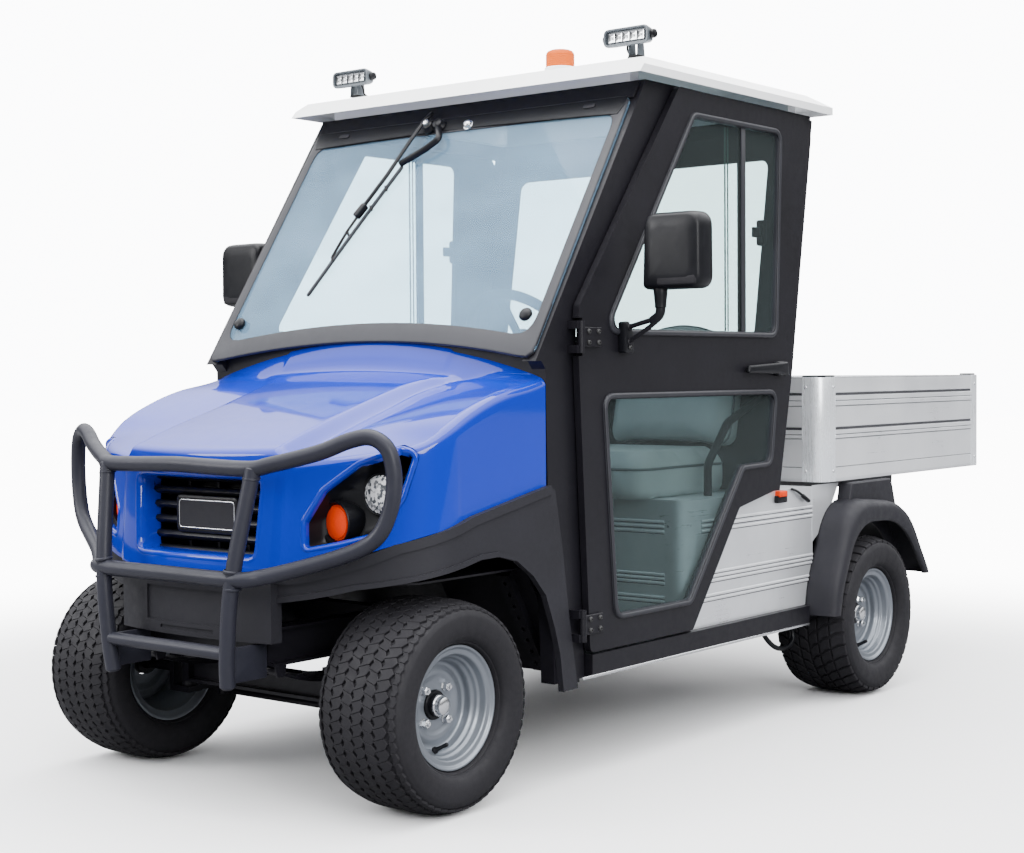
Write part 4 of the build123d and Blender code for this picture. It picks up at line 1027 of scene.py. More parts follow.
def addGrille():
    g = grilleShape
    section = [(-0.006, -0.0135), (0.004, -0.0125), (0.020, -0.007), (0.026, 0.001), (0.0235, 0.0085),
               (0.016, 0.0115), (0.002, 0.0100), (-0.006, 0.0060)]    # forward, up
    stations = [-1.0, -0.96, -0.5, 0.0, 0.5, 0.96, 1.0]
    loops = []
    for s in stations:
        bow = 0.006 * (1 - s * s)
        loops.append([spot(s * g["half"] * 1000, g["frontY"] + 26, g["topZ"]) + Vector((0, -f - bow, u))
                      for f, u in section])
    slat = loopsMesh("slat", loops, "blackPlastic", 50)
    repeated(slat, "row", g["slats"], (0, 0, -g["step"]), "blackPlastic", 50)
    front = spot(0, g["backY"], 692)
    hood = faceFrame(front, (1, 0, 0), (0, 0, 1))
    ring = roundedRing([(-0.207, -0.112), (0.207, -0.112), (0.209, 0.112), (-0.209, 0.112)], 0.024)
    channel = [(0.004, 0.052), (0.0, 0.052), (-0.003, 0.046), (-0.003, -0.006), (0.010, -0.006), (0.010, -0.002),
               (0.004, 0.0)]
    frameRing = trimRing("grilleFrame", ring, hood, channel, "blackPlastic")
    backing = slab("backing", ring, hood, [(0.0, -0.004), (0.0, -0.001), (0.002, 0.0)], "blackPlastic")
    posts = []
    for x in (-0.105, 0.0, 0.105):    # uprights behind the slats
        posts.append(slab("post", rectangle(0.010, 0.222, 0.003, 3, (x, 0)), hood, softEdge(0.024, 0.002),
                          "blackPlastic"))
    grille = joined("grilleSlats", [slat, frameRing, backing] + posts)
    mount(grille, "chassis", "black_plastic", "grille")
    width, height, corner = g["plate"]
    face = faceFrame(spot(0, g["plateY"], g["plateZ"]), (1, 0, 0), (0, 0, 1))
    plate = slab("badgePlate", rectangle(width, height, corner), face,
                 [(0.006, -0.020), (0.001, -0.006), (0, -0.002), (0.0008, 0.003), (0.003, 0.0045), (0.0085, 0.0048),
                  (0.0095, 0.0036)], "blackPlastic", 40)
    border = trimRing("badgeBorder", rectangle(width - 0.022, height - 0.022, corner * 0.7), face,
                      [(0, 0.0034), (0, 0.0050), (0.0006, 0.0054), (0.0018, 0.0054), (0.0024, 0.0050),
                       (0.0024, 0.0034)], "brightMetal")
    inlay = slab("badgeInlay", rectangle(width - 0.028, height - 0.028, corner * 0.6), face,
                 [(0, 0.0030), (0, 0.0040), (0.0006, 0.0044)], "darkPlastic")
    for piece, slot in ((plate, "black_plastic"), (border, "silver_steel"), (inlay, "dark_plastic")):
        mount(piece, "chassis", slot)
    print("grille made")


screenShape = {    # millimetres; pairs on the screen are (across, up the slope)
    "low": (302, 1066), "top": (756, 1763), "middle": (0, 0.42), "knobs": (523, 128), "nut": (39, 791),
    "outer": dict(half=587, low=0, rise=61, top=831, topHalf=577, corners=(24, 24)),
    "inner": dict(half=556, low=64, rise=56, top=776, topHalf=551, corners=(52, 48)),
    "header": dict(half=560, low=768, rise=14),
}
screenUp = Vector((0, *(high - low for low, high in zip(screenShape["low"], screenShape["top"]))))
screenPlace = faceFrame(spot(0, *screenShape["low"]), (1, 0, 0), screenUp)


def onScreen(u, v, height=0.0):    # millimetres across, up the slope and off the glass
    return screenPlace @ Vector((u / 1000, v / 1000, height / 1000))


def addScreen():
    s = screenShape
    for name, look, side in (("windscreen", "screenGlass", -1), ("rearWindow", "windowGlass", 1)):
        mount(partOfNode(name, "cab_glass", lambda v: v.y * side > 0, look), "chassis", "clear_glass", "cab_glass")

    def arch(half, low, rise, count):    # a line that rises towards its middle
        across = [2 * i / count - 1 for i in range(count + 1)]
        return [(half * a / 1000, (low + rise * (1 - a**2)) / 1000) for a in across]

    def arched(half, low, rise, top, topHalf, corners):
        foot, (corner, topCorner) = arch(half, low, rise, 16), (size / 1000 for size in corners)
        points = foot + [(topHalf / 1000, top / 1000), (-topHalf / 1000, top / 1000)]
        sizes = [corner] + [0.002] * (len(foot) - 2) + [corner] + [topCorner] * 2
        return polarRing(roundedRing(points, sizes), Vector(s["middle"]), 240)

    outer, inner = arched(**s["outer"]), arched(**s["inner"])
    levels = [(outer, 0.0, -0.006), (outer, -0.0012, -0.004), (outer, -0.0012, 0.0015), (outer, 0.0, 0.0032),
              (outer, 0.004, 0.0040), (inner, -0.006, 0.0036), (inner, -0.001, 0.0028), (inner, 0.0, 0.0008)]
    loops = [[screenPlace @ Vector((p.x, p.y, high)) for p in inset(ring, deep)] for ring, deep, high in levels]
    mount(loopsMesh("screenBorder", loops, "rubberTrim", 50, closed=True), "chassis", "black_plastic")
    ring = arch(**s["header"], count=24) + [(0.572, 0.800), (0.571, 0.828), (-0.571, 0.828), (-0.572, 0.800)]
    mount(slab("screenHeader", ring, screenPlace, [(0, 0.0034), (0, 0.0050), (0.0012, 0.0058)], "blackPlastic"),
          "chassis", "black_plastic")
    # closes the band below the cab's front header
    strip = slab("headerStrip", rectangle(1.172, 0.054, 0.002, 2, (0, 0.8535)), screenPlace,
                 [(0, -0.0062), (0, -0.0012), (0.001, 0.0)], "blackSteel")
    mount(strip, "chassis", "black_steel")
    knob = [(0.0, 0.017), (0.004, 0.0185), (0.009, 0.0180), (0.0125, 0.0150), (0.0150, 0.0085), (0.0155, 0.0001),
            (0.0, 0.0001)]
    out = screenPlace.to_3x3() @ Vector((0, 0, 1))
    for side, label in ((1, "Left"), (-1, "Right")):
        u, v = s["knobs"]
        piece = moved(turnedShape("screenKnob" + label, knob, "blackPlastic", 28),
                      facing(onScreen(side * u, v, 2.0), out))
        mount(piece, "chassis", "black_plastic")
        oval = slab("headerOval" + label, rectangle(0.040, 0.014, 0.0069, 5), screenPlace @
                    Matrix.Translation((side * 0.455, 0.806, 0.0055)), softEdge(0.003, 0.001), "darkPlastic")
        mount(oval, "chassis", "dark_plastic")
    nut = [(0.0, 0.016), (0.003, 0.016), (0.0035, 0.0125), (0.010, 0.0125), (0.0135, 0.010), (0.0155, 0.0055),
           (0.016, 0.0001), (0.0, 0.0001)]
    piece = moved(turnedShape("headerNut", nut, "brightMetal", 28), facing(onScreen(*s["nut"], 5.0), out))
    mount(piece, "chassis", "silver_steel")
    print("windscreen made")


wiperShape = {
    "spindle": (-107, 798), "second": (-72, 800),
    "claws": [(-262, 345), (-243, 430), (-200, 520), (-176, 588)],
    "arm": [(-112, 842, 20), (-122, 812, 26), (-141, 740, 27), (-176, 620, 24), (-222, 505, 20)],
    "bridge": [(-218, 520, 16), (-243, 430, 17), (-262, 345, 12)],
    "blade": [(-150, 664, 8), (-222, 445, 8), (-296, 216, 8)],
    "link": [(-72, 800, 18), (-44, 760, 24), (-34, 736, 24), (-70, 706, 22), (-152, 664, 16)],
}


def addWiper():
    w = wiperShape
    out = screenPlace.to_3x3() @ Vector((0, 0, 1))

    def line(key, radius=8.0):
        return [onScreen(*p) for p in bentLine(w[key], radius)]

    boss = [(0.0, 0.022), (0.006, 0.022), (0.010, 0.018), (0.020, 0.016), (0.022, 0.0125), (0.022, 0.0001),
            (0.0, 0.0001)]
    parts = [moved(turnedShape("boss", boss, "blackPlastic", 32), facing(onScreen(*w["spindle"], 5), out)),
             moved(turnedShape("boss2", boss, "blackPlastic", 32), facing(onScreen(*w["second"], 4), out)),
             tube("arm", line("arm"), 0.0085, "blackPlastic", 12, 0.62),
             tube("bridge", line("bridge"), 0.0050, "blackPlastic", 10, 0.8),
             tube("link", line("link", 14.0), 0.0095, "blackPlastic", 12, 0.5)]
    turned = Matrix.Translation((-0.224, 0.500, 0.008)) @ Matrix.Rotation(math.radians(-22), 4, "Z")
    parts.append(slab("block", rectangle(0.020, 0.046, 0.006), screenPlace @ turned, softEdge(0.020, 0.004),
                      "blackPlastic"))
    for u, v in w["claws"]:    # claws that hold the blade
        parts.append(tube("claw", [onScreen(u, v, 13), onScreen(u + 5, v - 8, 12), onScreen(u + 9, v - 12, 7)],
                          0.0038, "blackPlastic", 8))
    mount(joined("wiperArm", parts), "chassis", "black_plastic", "wiper")
    low, high = onScreen(*w["blade"][0]), onScreen(*w["blade"][2])
    along = (high - low).normalized()
    side = along.cross(out).normalized()
    section = [(-0.0008, -0.0075), (0.0008, -0.0075), (0.0022, -0.0030), (0.0048, -0.0020), (0.0050, 0.0010),
               (0.0030, 0.0026), (-0.0030, 0.0026), (-0.0050, 0.0010), (-0.0048, -0.0020), (-0.0022, -0.0030)]
    loops = []
    for t in (0.0, 0.01, 0.25, 0.5, 0.75, 0.99, 1.0):
        middle = low.lerp(high, t) + out * 0.002 * math.sin(math.pi * t)
        size = 0.6 if t in (0.0, 1.0) else 1.0
        loops.append([middle + (side * a + out * b) * size for a, b in section])
    mount(loopsMesh("wiperBlade", loops, "rubberTrim", 30), "chassis", "black_plastic")
    spindle = [(0.0, 0.010), (0.006, 0.010), (0.009, 0.0085), (0.011, 0.005), (0.0115, 0.0001), (0.0, 0.0001)]
    nut = turnedShape("wiperNut", spindle, "brightMetal", 6, sharp=20)
    moved(nut, facing(onScreen(*w["spindle"], 26), out))
    mount(nut, "chassis", "silver_steel")
    print("wiper made")


roofLamp = {"x": 514, "y": 822, "z": 1937, "width": 0.146, "height": 0.050, "lights": 5, "pitch": 0.02375,
            "fins": 17, "finPitch": 0.00625, "caps": 74, "post": (7, 40), "beaconY": 1215}


def addRoofLamps():
    lamp = roofLamp
    face = faceFrame(spot(lamp["x"], lamp["y"] + 4, lamp["z"]), (1, 0, 0), (0, 0, 1))
    housing = slab("housing", rectangle(lamp["width"], lamp["height"], 0.017), face,
                   [(0.016, -0.038), (0.010, -0.036), (0.004, -0.026), (0.0015, -0.012), (0, -0.003), (0, 0.001),
                    (0.0012, 0.004), (0.004, 0.0042), (0.0065, 0.0030), (0.0068, -0.006)], "lampMetal", 50)
    fin = slab("fin", rectangle(0.0022, 0.030, 0.001, 2, (-0.050, 0)), face, [(0, -0.0405), (0, -0.030)],
               "lampMetal")
    repeated(fin, "row", lamp["fins"], (lamp["finPitch"], 0, 0), "lampMetal")
    ends = []
    for side in (-1, 1):
        cap = [(-0.006, 0.0125), (0.004, 0.0125), (0.0085, 0.0115), (0.010, 0.009), (0.010, 0.0001), (-0.006, 0.0001)]
        ends.append(moved(turnedShape("cap", cap, "blackPlastic", 24),
                          facing(spot(lamp["x"] + side * lamp["caps"], lamp["y"] + 22, lamp["z"] + 1), (side, 0, 0))))
    bracket = []
    post = spot(lamp["x"] + lamp["post"][0], lamp["y"] + lamp["post"][1], 0)
    for shift in (-0.014, 0.014):
        side = faceFrame(Vector((post.x + shift, post.y, 1.9)), (0, 1, 0), (0, 0, 1))
        ring = roundedRing([(-0.014, -0.016), (0.022, -0.016), (0.014, 0.044), (-0.010, 0.044)], 0.006)
        bracket.append(slab("leg", ring, side, softEdge(0.004, 0.001, -0.002), "lampMetal"))
    ground = faceFrame(Vector((post.x, post.y + 0.004, 1.8835)), (1, 0, 0), (0, 1, 0))
    bracket.append(slab("foot", rectangle(0.034, 0.040, 0.005), ground, softEdge(0.006, 0.0015), "blackPlastic"))
    wire = [spot(lamp["x"] + x, lamp["y"] + y, z)
            for x, y, z in ((-14, 34, 1925), (-22, 40, 1908), (-16, 46, 1894), (-28, 52, 1884))]
    bracket.append(tube("wire", bentLine(wire, 0.008), 0.0028, "blackPlastic", 8))
    body = joined("roofLampBody", [housing, fin] + ends + bracket)
    cell = slab("cell", rectangle(0.0205, 0.026, 0.0025, 3, (-0.0475, 0)), face,
                [(0, -0.004), (0, 0.0005), (0.0012, 0.0018), (0.0045, 0.0002), (0.0075, -0.0012)], "mirrorMetal", 20)
    repeated(cell, "row", lamp["lights"], (lamp["pitch"], 0, 0), "mirrorMetal", 20)
    dot = slab("dot", rectangle(0.008, 0.008, 0.0035, 4, (-0.0475, 0)), face,
               [(0, -0.001), (0, 0.0014), (0.001, 0.0022)], "lampLens", 20)
    repeated(dot, "row", lamp["lights"], (lamp["pitch"], 0, 0), "lampLens", 20)
    for key, piece, slot in (("Body", body, "black_plastic"), ("Cells", cell, "silver_steel"),
                             ("Dots", dot, "lamp_glass")):
        stands = ["roof_lamps"] if key == "Body" else []
        other = mirrored(piece, "roofLamp" + key + "Right")
        piece.name = "roofLamp" + key + "Left"
        mount(piece, "chassis", slot, *stands)
        mount(other, "chassis", slot, *stands)
    upright = facing(spot(0, lamp["beaconY"], 1893), (0, 0, 1))
    foot = [(0.0, 0.056), (0.005, 0.057), (0.010, 0.054), (0.014, 0.044), (0.052, 0.040), (0.056, 0.047),
            (0.066, 0.048), (0.069, 0.046), (0.069, 0.0001), (0.0, 0.0001)]
    base = moved(turnedShape("beaconBase", foot, "whitePlastic", 48), upright)
    lens = [(0.069, 0.0435)]
    for k in range(6):
        lens += [(0.071 + k * 0.0066, 0.0437), (0.0740 + k * 0.0066, 0.0443), (0.0765 + k * 0.0066, 0.0432)]
    lens += [(0.1125, 0.0425), (0.118, 0.0385), (0.1218, 0.030), (0.1230, 0.012), (0.1230, 0.0001), (0.069, 0.0001)]
    dome = moved(turnedShape("beaconLens", lens, "beaconLens", 56), upright)
    mount(base, "chassis", "white_plastic", "roof_lamps")
    mount(dome, "chassis", "lamp_glass", "roof_lamps")
    print("roof lamps made")


addLampPods()
addGrille()
addScreen()
addWiper()
addRoofLamps()


barShape = {
    "radius": 0.019, "sides": 18, "crossY": -362, "crossZ": 389,
    "hoop": [(0, -326, 820), (238, -320, 815), (300, -300, 825), (404, -250, 853), (468, -218, 880), (516, -196, 888),
             (552, -182, 864), (566, -176, 818), (566, -176, 762), (555, -181, 712), (534, -190, 668),
             (498, -205, 638), (440, -232, 613), (362, -274, 588), (290, -324, 568), (236, -360, 562),
             (0, -362, 562)],
    "upright": [(262, -320, 814), (231, -360, 562), (213, -362, 389), (206, -355, 312)],
    "foot": [(-0.354, 0.318), (-0.354, 0.400), (-0.2383, 0.400), (-0.2383, 0.318)],
}


def smoothLine(points, steps=5):    # Catmull-Rom curve through the points
    points = [Vector(p) for p in points]
    padded = [points[0] * 2 - points[1]] + points + [points[-1] * 2 - points[-2]]
    line = []
    for a, b, c, d in zip(padded, padded[1:], padded[2:], padded[3:]):
        for s in range(steps):
            t = s / steps
            line.append(0.5 * (2 * b + (c - a) * t + (2 * a - 5 * b + 4 * c - d) * t * t
                               + (3 * b - a - 3 * c + d) * t**3))
    return line + [points[-1]]


def addBullBar():
    b = barShape
    r, steps, ahead = b["radius"], b["sides"], Vector((0, -1, 0))
    right = [spot(*p) for p in b["hoop"]]
    left = [Vector((-v.x, v.y, v.z)) for v in right]
    line = smoothLine(right + left[::-1][1:-1] + [right[0]], 5)[:-1]
    loops = []
    for i, here in enumerate(line):
        along = (line[(i + 1) % len(line)] - line[i - 1]).normalized()
        side = (ahead - along * along.dot(ahead)).normalized()
        other = along.cross(side)
        loops.append([here + (side * math.cos(a) + other * math.sin(a)) * r
                      for a in [2 * math.pi * k / steps for k in range(steps)]])
    parts = [loopsMesh("hoop", loops, "greySteel", 60, closed=True)]
    bead = [(-0.004, r - 0.001), (-0.002, r + 0.0022), (0.001, r + 0.0028), (0.004, r + 0.0012), (0.005, r - 0.001)]
    foot = roundedRing(b["foot"], 0.006)
    for sign in (1, -1):
        line = [spot(sign * x, y, z) for x, y, z in b["upright"]]
        parts.append(tube("upright", smoothLine(line, 6), r, "greySteel", steps))
        for at, shift in ((line[0], (sign * -0.003, -0.002, -0.020)), (line[1], (0, 0, 0.020)),
                          (line[1], (0, 0, -0.020))):    # weld beads where it crosses the hoop
            weld = turnedShape("weld", bead, "greySteel", 24)
            parts.append(moved(weld, facing(at + Vector(shift), (sign * -0.11, 0.09, -1))))
        place = faceFrame(Vector((sign * 0.209 - 0.006, axleY, 0)), (0, 1, 0), (0, 0, 1))
        parts.append(slab("barFoot", foot, place, softEdge(0.012, 0.0015), "greySteel"))
    cross = [spot(x, b["crossY"], b["crossZ"]) for x in (-211, -120, 0, 120, 211)]
    parts.append(tube("cross", cross, r - 0.003, "greySteel", steps))
    mount(joined("bullBar", parts), "chassis", "grey_steel", "bull_bar")
    print("bull bar made")


fenderShape = {
    "whole": [(-307, 281), (-293, 372), (-168, 634), (206, 603), (362, 372), (368, 354)],
    "opening": [(-262, 281), (-246, 352), (-142, 556), (158, 546), (318, 366), (324, 354)],
    "corner": 0.120,
    "section": [(601, 0.0), (640, 0.0), (668, 0.015), (687, 0.08), (699, 0.2), (704, 0.36), (705, 0.6), (704.5, 0.88),
                (701, 0.985), (694, 1.0), (692, 0.97), (697, 0.86), (697.5, 0.6), (696, 0.36), (690, 0.24),
                (680, 0.15), (662, 0.10), (640, 0.085), (601, 0.085)],
}


def evenLine(line, count):
    lengths = [0.0]
    for a, b in zip(line, line[1:]):
        lengths.append(lengths[-1] + (b - a).length)
    out, i = [], 0
    for s in range(count + 1):
        target = lengths[-1] * s / count
        while i < len(line) - 2 and lengths[i + 1] < target:
            i += 1
        t = (target - lengths[i]) / max(lengths[i + 1] - lengths[i], 1e-9)
        out.append(line[i].lerp(line[i + 1], t))
    return out


def addFenders():
    f = fenderShape
    rearY = (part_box("tyre_rear_left")[0].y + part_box("tyre_rear_left")[1].y) / 2
    paths = {}
    for key in ("whole", "opening"):
        points = [Vector((0, rearY + y / 1000, z / 1000)) for y, z in f[key]]
        paths[key] = evenLine(bentLine(points, f["corner"] * (1.0 if key == "whole" else 0.95), 10), 60)

    def shell(name, section, finishName):
        loops = []
        for outer, inner in zip(paths["whole"], paths["opening"]):
            loop = []
            for x, share in section:
                p = outer.lerp(inner, share)
                loop.append(Vector((x / 1000, p.y, p.z)))
            loops.append(loop)
        return loopsMesh(name, loops, finishName, 50)

    flare = shell("flare", f["section"], "darkPlastic")
    web = shell("web", [(600.3, 0.0), (606, 0.0), (606, 1.0), (600.3, 1.0)], "darkPlastic")
    loops = []    # liner over the tyre, seen from below
    for outer, inner in zip(paths["whole"], paths["opening"]):
        loops.append([Vector((x, *outer.lerp(inner, share).yz)) for x, share in
                      ((0.604, 0.55), (0.604, 0.60), (0.398, 0.60), (0.398, 0.55))])
    liner = loopsMesh("liner", loops, "blackPlastic", 50)
    panel = [(-0.258, 0.500), (-0.258, 0.6755), (-0.086, 0.6755), (-0.119, 0.628), (-0.150, 0.590), (-0.225, 0.520)]
    block = [(-0.098, 0.615), (-0.080, 0.676), (0.196, 0.676), (0.236, 0.565), (0.150, 0.590), (-0.060, 0.600)]
    place = faceFrame(Vector((0.6003, rearY, 0)), (0, 1, 0), (0, 0, 1))
    body = slab("body", roundedRing(block, [0.004, 0.010, 0.016, 0.004, 0.02, 0.02]), place,
                [(0, 0), (0, 0.040), (0.002, 0.044), (0.005, 0.046)], "darkPlastic")
    panelPiece = slab("rearPanelLeft", roundedRing(panel, 0.003), place, [(0, -0.0015), (0, 0.0006)], "aluminium")
    other = mirrored(panelPiece, "rearPanelRight")
    mount(panelPiece, "chassis", "aluminium")
    mount(other, "chassis", "aluminium")
    left = joined("rearFenderLeft", [flare, web, body, liner])
    right = mirrored(left, "rearFenderRight")
    mount(left, "chassis", "dark_plastic", "rear_fenders")
    mount(right, "chassis", "dark_plastic", "rear_fenders")
    print("rear fenders made")


doorShape = {
    "face": 0.625, "inner": 0.6085, "corner": 0.028, "sealReach": 0.0155,
    "upper": [(577, 1142), (990, 1726), (1450, 1728), (1424, 1142)],
    "lower": [(612, 404), (566, 962), (1420, 962), (1392, 764), (1236, 760), (956, 404)],
    "hinges": (392, 1120),
    "lever": [(1244, 1025), (1251, 1045), (1420, 1053), (1466, 1056), (1472, 1050), (1472, 1020), (1466, 1016),
              (1420, 1023)],
}
sealProfile = [(0.0, -0.001), (0.0, 0.0028), (0.0018, 0.0058), (0.0050, 0.0080), (0.0090, 0.0082), (0.0130, 0.0066),
               (0.0160, 0.0030), (0.0172, -0.003), (0.0172, -0.0105), (0.0150, -0.0105), (0.0140, -0.001)]


def sideRing(points, corner, steps=7):    # a ring of (y, z) millimetres, as seen from the left
    return counterClockwise(roundedRing([(y / 1000 + axleY, z / 1000) for y, z in points], corner, steps))


def screwHeads(name, place, spots, radius, finishName):    # domed hexagon-socket heads
    dome = [(0.35, 1), (0.62, 0.86), (0.8, 0.55), (0.8, 0.42), (0.4, 0.38)]    # shares of the radius
    profile = [(-0.002, radius)] + [(radius * high, radius * wide) for high, wide in dome]
    profile += [(radius * 0.4, 0.0001), (-0.002, 0.0001)]
    out = place.to_3x3() @ Vector((0, 0, 1))
    heads = []
    for u, v in spots:
        head = turnedShape("head", profile, finishName, 12, sharp=40)
        heads.append(moved(head, facing(place @ Vector((u, v, 0)), out)))
    return joined(name, heads)


def addDoors():
    d = doorShape
    place = sidePlace(d["face"])
    made = {}
    for key in ("upper", "lower"):
        ring = inset(sideRing(d[key], d["corner"]), -d["sealReach"])
        made["Seal" + key.capitalize()] = (trimRing("seal", ring, place, sealProfile, "rubberTrim"), "black_plastic")
    lever = slab("lever", sideRing(d["lever"], [0.005] * 3 + [0.004] * 4 + [0.005]), place,
                 [(0.003, 0.0075), (0.0, 0.0105), (-0.0012, 0.0150), (-0.0008, 0.0195), (0.0015, 0.0220),
                  (0.0050, 0.0230)], "blackPlastic", 60)
    boss = slab("boss", rectangle(0.052, 0.044, 0.010, 5, (axleY + 1.443, 1.037)), place,
                [(0, 0.0), (0, 0.010), (0.003, 0.0165), (0.006, 0.018)], "blackPlastic", 50)
    made["Handle"] = (joined("handle", [lever, boss]), "black_plastic")
    plates, u = [], axleY + 0.500
    for z in d["hinges"]:
        plates.append(slab("hingePlate", rectangle(0.082, 0.050, 0.006, 4, (u, z / 1000)), place,
                           [(0, 0.0), (0, 0.0072), (0.0015, 0.0086)], "blackSteel"))
        spots = [(u + a, z / 1000 + b) for a in (-0.018, 0.024) for b in (-0.014, 0.014)]
        plates.append(screwHeads("hingeScrews", place @ Matrix.Translation((0, 0, 0.0086)), spots, 0.0068,
                                 "castIron"))
    made["Hinges"] = (joined("hinges", plates), "black_steel")
    inner = sidePlace(d["inner"])
    latchY, latchZ = axleY + 1.404, 1.436
    latch = [slab("latchBody", rectangle(0.026, 0.076, 0.009, 5, (latchY, latchZ)), inner,
                  softEdge(0.024, 0.005, -0.026), "blackPlastic"),
             slab("latchTab", rectangle(0.042, 0.030, 0.003, 4, (latchY - 0.030, latchZ)), inner,
                  softEdge(0.010, 0.002, -0.018), "blackPlastic"),
             slab("knob", sideRing([(664, 1300), (650, 1330), (690, 1412), (706, 1408), (700, 1350)], 0.009), inner,
                  softEdge(0.020, 0.006, -0.030), "blackPlastic")]
    made["Latch"] = (joined("latch", latch), "black_plastic")
    edges = [slab("paneEdge", rectangle(wide, 0.578, 0.001, 2, (axleY + y, 1.434)), inner,
                  softEdge(0.004, 0.0005, -0.010), "paneEdge") for wide, y in ((0.0035, 1.190), (0.0022, 1.205))]
    made["PaneEdge"] = (joined("paneEdge", edges), "clear_glass")
    runner = slab("runner", rectangle(0.024, 0.594, 0.003, 3, (axleY + 1.255, 1.434)), place,
                  softEdge(0.004, 0.001, -0.006), "rubberTrim")
    made["Runner"] = (runner, "black_plastic")
    for key, (piece, slot) in made.items():
        other = mirrored(piece, "door" + key + "Right")
        piece.name = "door" + key + "Left"
        mount(piece, "door_left", slot)
        mount(other, "door_right", slot)
    print("doors dressed")


mirrorShape = {
    "case": [(0.7015, 1.2405), (0.7070, 1.4355), (0.8780, 1.4355), (0.8795, 1.2405)],
    "corners": [0.010, 0.034, 0.040, 0.032], "faceY": 678, "armRadius": 0.0062, "pivots": (1146, 1108),
    "bulge": [(0.90, 0.012), (0.905, 0.001), (0.94, 0.0), (0.985, 0.0015), (1.0, 0.006), (1.0, 0.026),
              (0.992, 0.042), (0.965, 0.0545), (0.925, 0.0608), (0.87, 0.0638), (0.6, 0.0652),
              (0.3, 0.0656)],    # share of the outline, height
    "elbow": [(742, 645, 1215), (742, 645, 1176), (716, 644, 1160)],
    "arms": [[(735, 645, 1168), (690, 643, 1158), (644, 641, 1146)],
             [(735, 645, 1164), (700, 643, 1140), (644, 641, 1108)]],
    "foot": [(621, 1080), (621, 1160), (640, 1162), (663, 1126), (663, 1080)], "footX": 0.6254, "footThick": 0.0235,
}


def addMirrors():
    m = mirrorShape
    place = faceFrame(spot(0, m["faceY"], 0), (1, 0, 0), (0, 0, 1))
    ring = [Vector(p) for p in roundedRing(m["case"], m["corners"], 8)]
    middle = sum(ring, Vector((0, 0))) / len(ring)
    loops = [[place @ Vector((*(middle + (p - middle) * share), height)) for p in ring]
             for share, height in m["bulge"]]
    case = loopsMesh("case", loops, "blackPlastic", 60)
    # a flush, very dark strip near the case's foot: painted shade of a recess
    recessShade = slab("recessShade", rectangle(0.118, 0.026, 0.010, 6, (0.808, 1.2620)), place,
               [(0, 0.050), (0, 0.0620), (0.002, 0.0640), (0.004, 0.0646)], "tyreRubber", 50)
    stem = turnedShape("stem", [(0.0, 0.0165), (0.006, 0.0185), (0.020, 0.0175), (0.040, 0.0150), (0.052, 0.0150),
                                (0.054, 0.0125), (0.054, 0.0001), (0.0, 0.0001)], "blackPlastic", 24)
    moved(stem, facing(spot(742, 645, 1247), (0, 0, -1)))
    elbow = tube("elbow", bentLine([spot(*p) for p in m["elbow"]], 0.018), 0.0125, "blackPlastic", 18)
    arms = [tube("arm", smoothLine([spot(*p) for p in line], 4), m["armRadius"], "blackSteel", 14)
            for line in m["arms"]]
    side = sidePlace(m["footX"])
    bracket = slab("bracket", sideRing(m["foot"], 0.006), side, softEdge(m["footThick"], 0.004), "blackPlastic")
    bolts = screwHeads("bolts", side @ Matrix.Translation((0, 0, m["footThick"])),
                       [(axleY + 0.642, 1.094), (axleY + 0.642, 1.112)], 0.0062, "castIron")
    pin = [(-0.004, 0.0001), (-0.004, 0.0095), (0.012, 0.0095), (0.014, 0.008), (0.014, 0.0001)]
    pivots = [moved(turnedShape("pivot", pin, "blackSteel", 20), facing(spot(638, 641, z), (1, 0, 0)))
              for z in m["pivots"]]
    body = joined("mirrorBody", [case, recessShade, stem, elbow] + arms + [bracket, bolts] + pivots)
    glass = slab("mirrorGlass", inset(counterClockwise(ring), 0.0115), place,
                 [(0, 0.010), (0, 0.003), (0.0010, 0.0022)], "mirrorMetal", 20)
    bead = trimRing("mirrorBead", inset(counterClockwise(ring), 0.0095), place,
                    [(0, 0.0010), (0.0012, 0.0002), (0.0030, 0.0010), (0.0030, 0.004), (0, 0.004)], "rubberTrim")
    for key, piece, slot in (("Body", body, "black_plastic"), ("Glass", glass, "silver_steel"),
                             ("Bead", bead, "black_plastic")):
        other = mirrored(piece, "mirror" + key + "Right")
        piece.name = "mirror" + key + "Left"
        for part, side in ((other, "right"), (piece, "left")):
            mount(part, "door_" + side, slot, *(["mirror_" + side] if key == "Body" else []))
    print("mirrors made")


bedShape = {
    "half": 0.627, "front": 0.4775, "rear": 1.6215, "low": 0.683, "top": 1.010, "corner": 0.045, "post": 0.075,
    "wall": 0.024, "rivets": (0.716, 0.978), "rivet": 0.0045, "inset": 0.062,
    "cap": [(0.548, 0.002), (0.625, 0.002), (0.625, 0.080), (0.590, 0.080), (0.590, 0.040), (0.548, 0.040)],
    "capCorners": [0.008, 0.040, 0.008, 0.006, 0.010, 0.006],
}
plankProfile = [    # height, and depth inside the posts' faces
    (0.6845, 0.0024), (0.6860, 0.0004), (0.7255, 0.0004), (0.7270, 0.0026), (0.7285, 0.0026), (0.7300, -0.0004),
    (0.8140, -0.0004), (0.8155, 0.0024), (0.8175, 0.0024), (0.8190, -0.0020), (0.8270, -0.0022), (0.8285, 0.0010),
    (0.8305, 0.0010), (0.8320, -0.0020), (0.8420, -0.0022), (0.8440, 0.0026), (0.8525, 0.0026), (0.8545, -0.0004),
    (0.9160, -0.0004), (0.9175, 0.0024), (0.9195, 0.0024), (0.9210, -0.0020), (0.9325, -0.0022), (0.9345, 0.0010),
    (0.9365, 0.0010), (0.9380, -0.0020), (0.9495, -0.0022), (0.9515, 0.0026), (0.9600, 0.0026), (0.9620, -0.0004),
    (1.0040, -0.0004), (1.0060, 0.0030)]
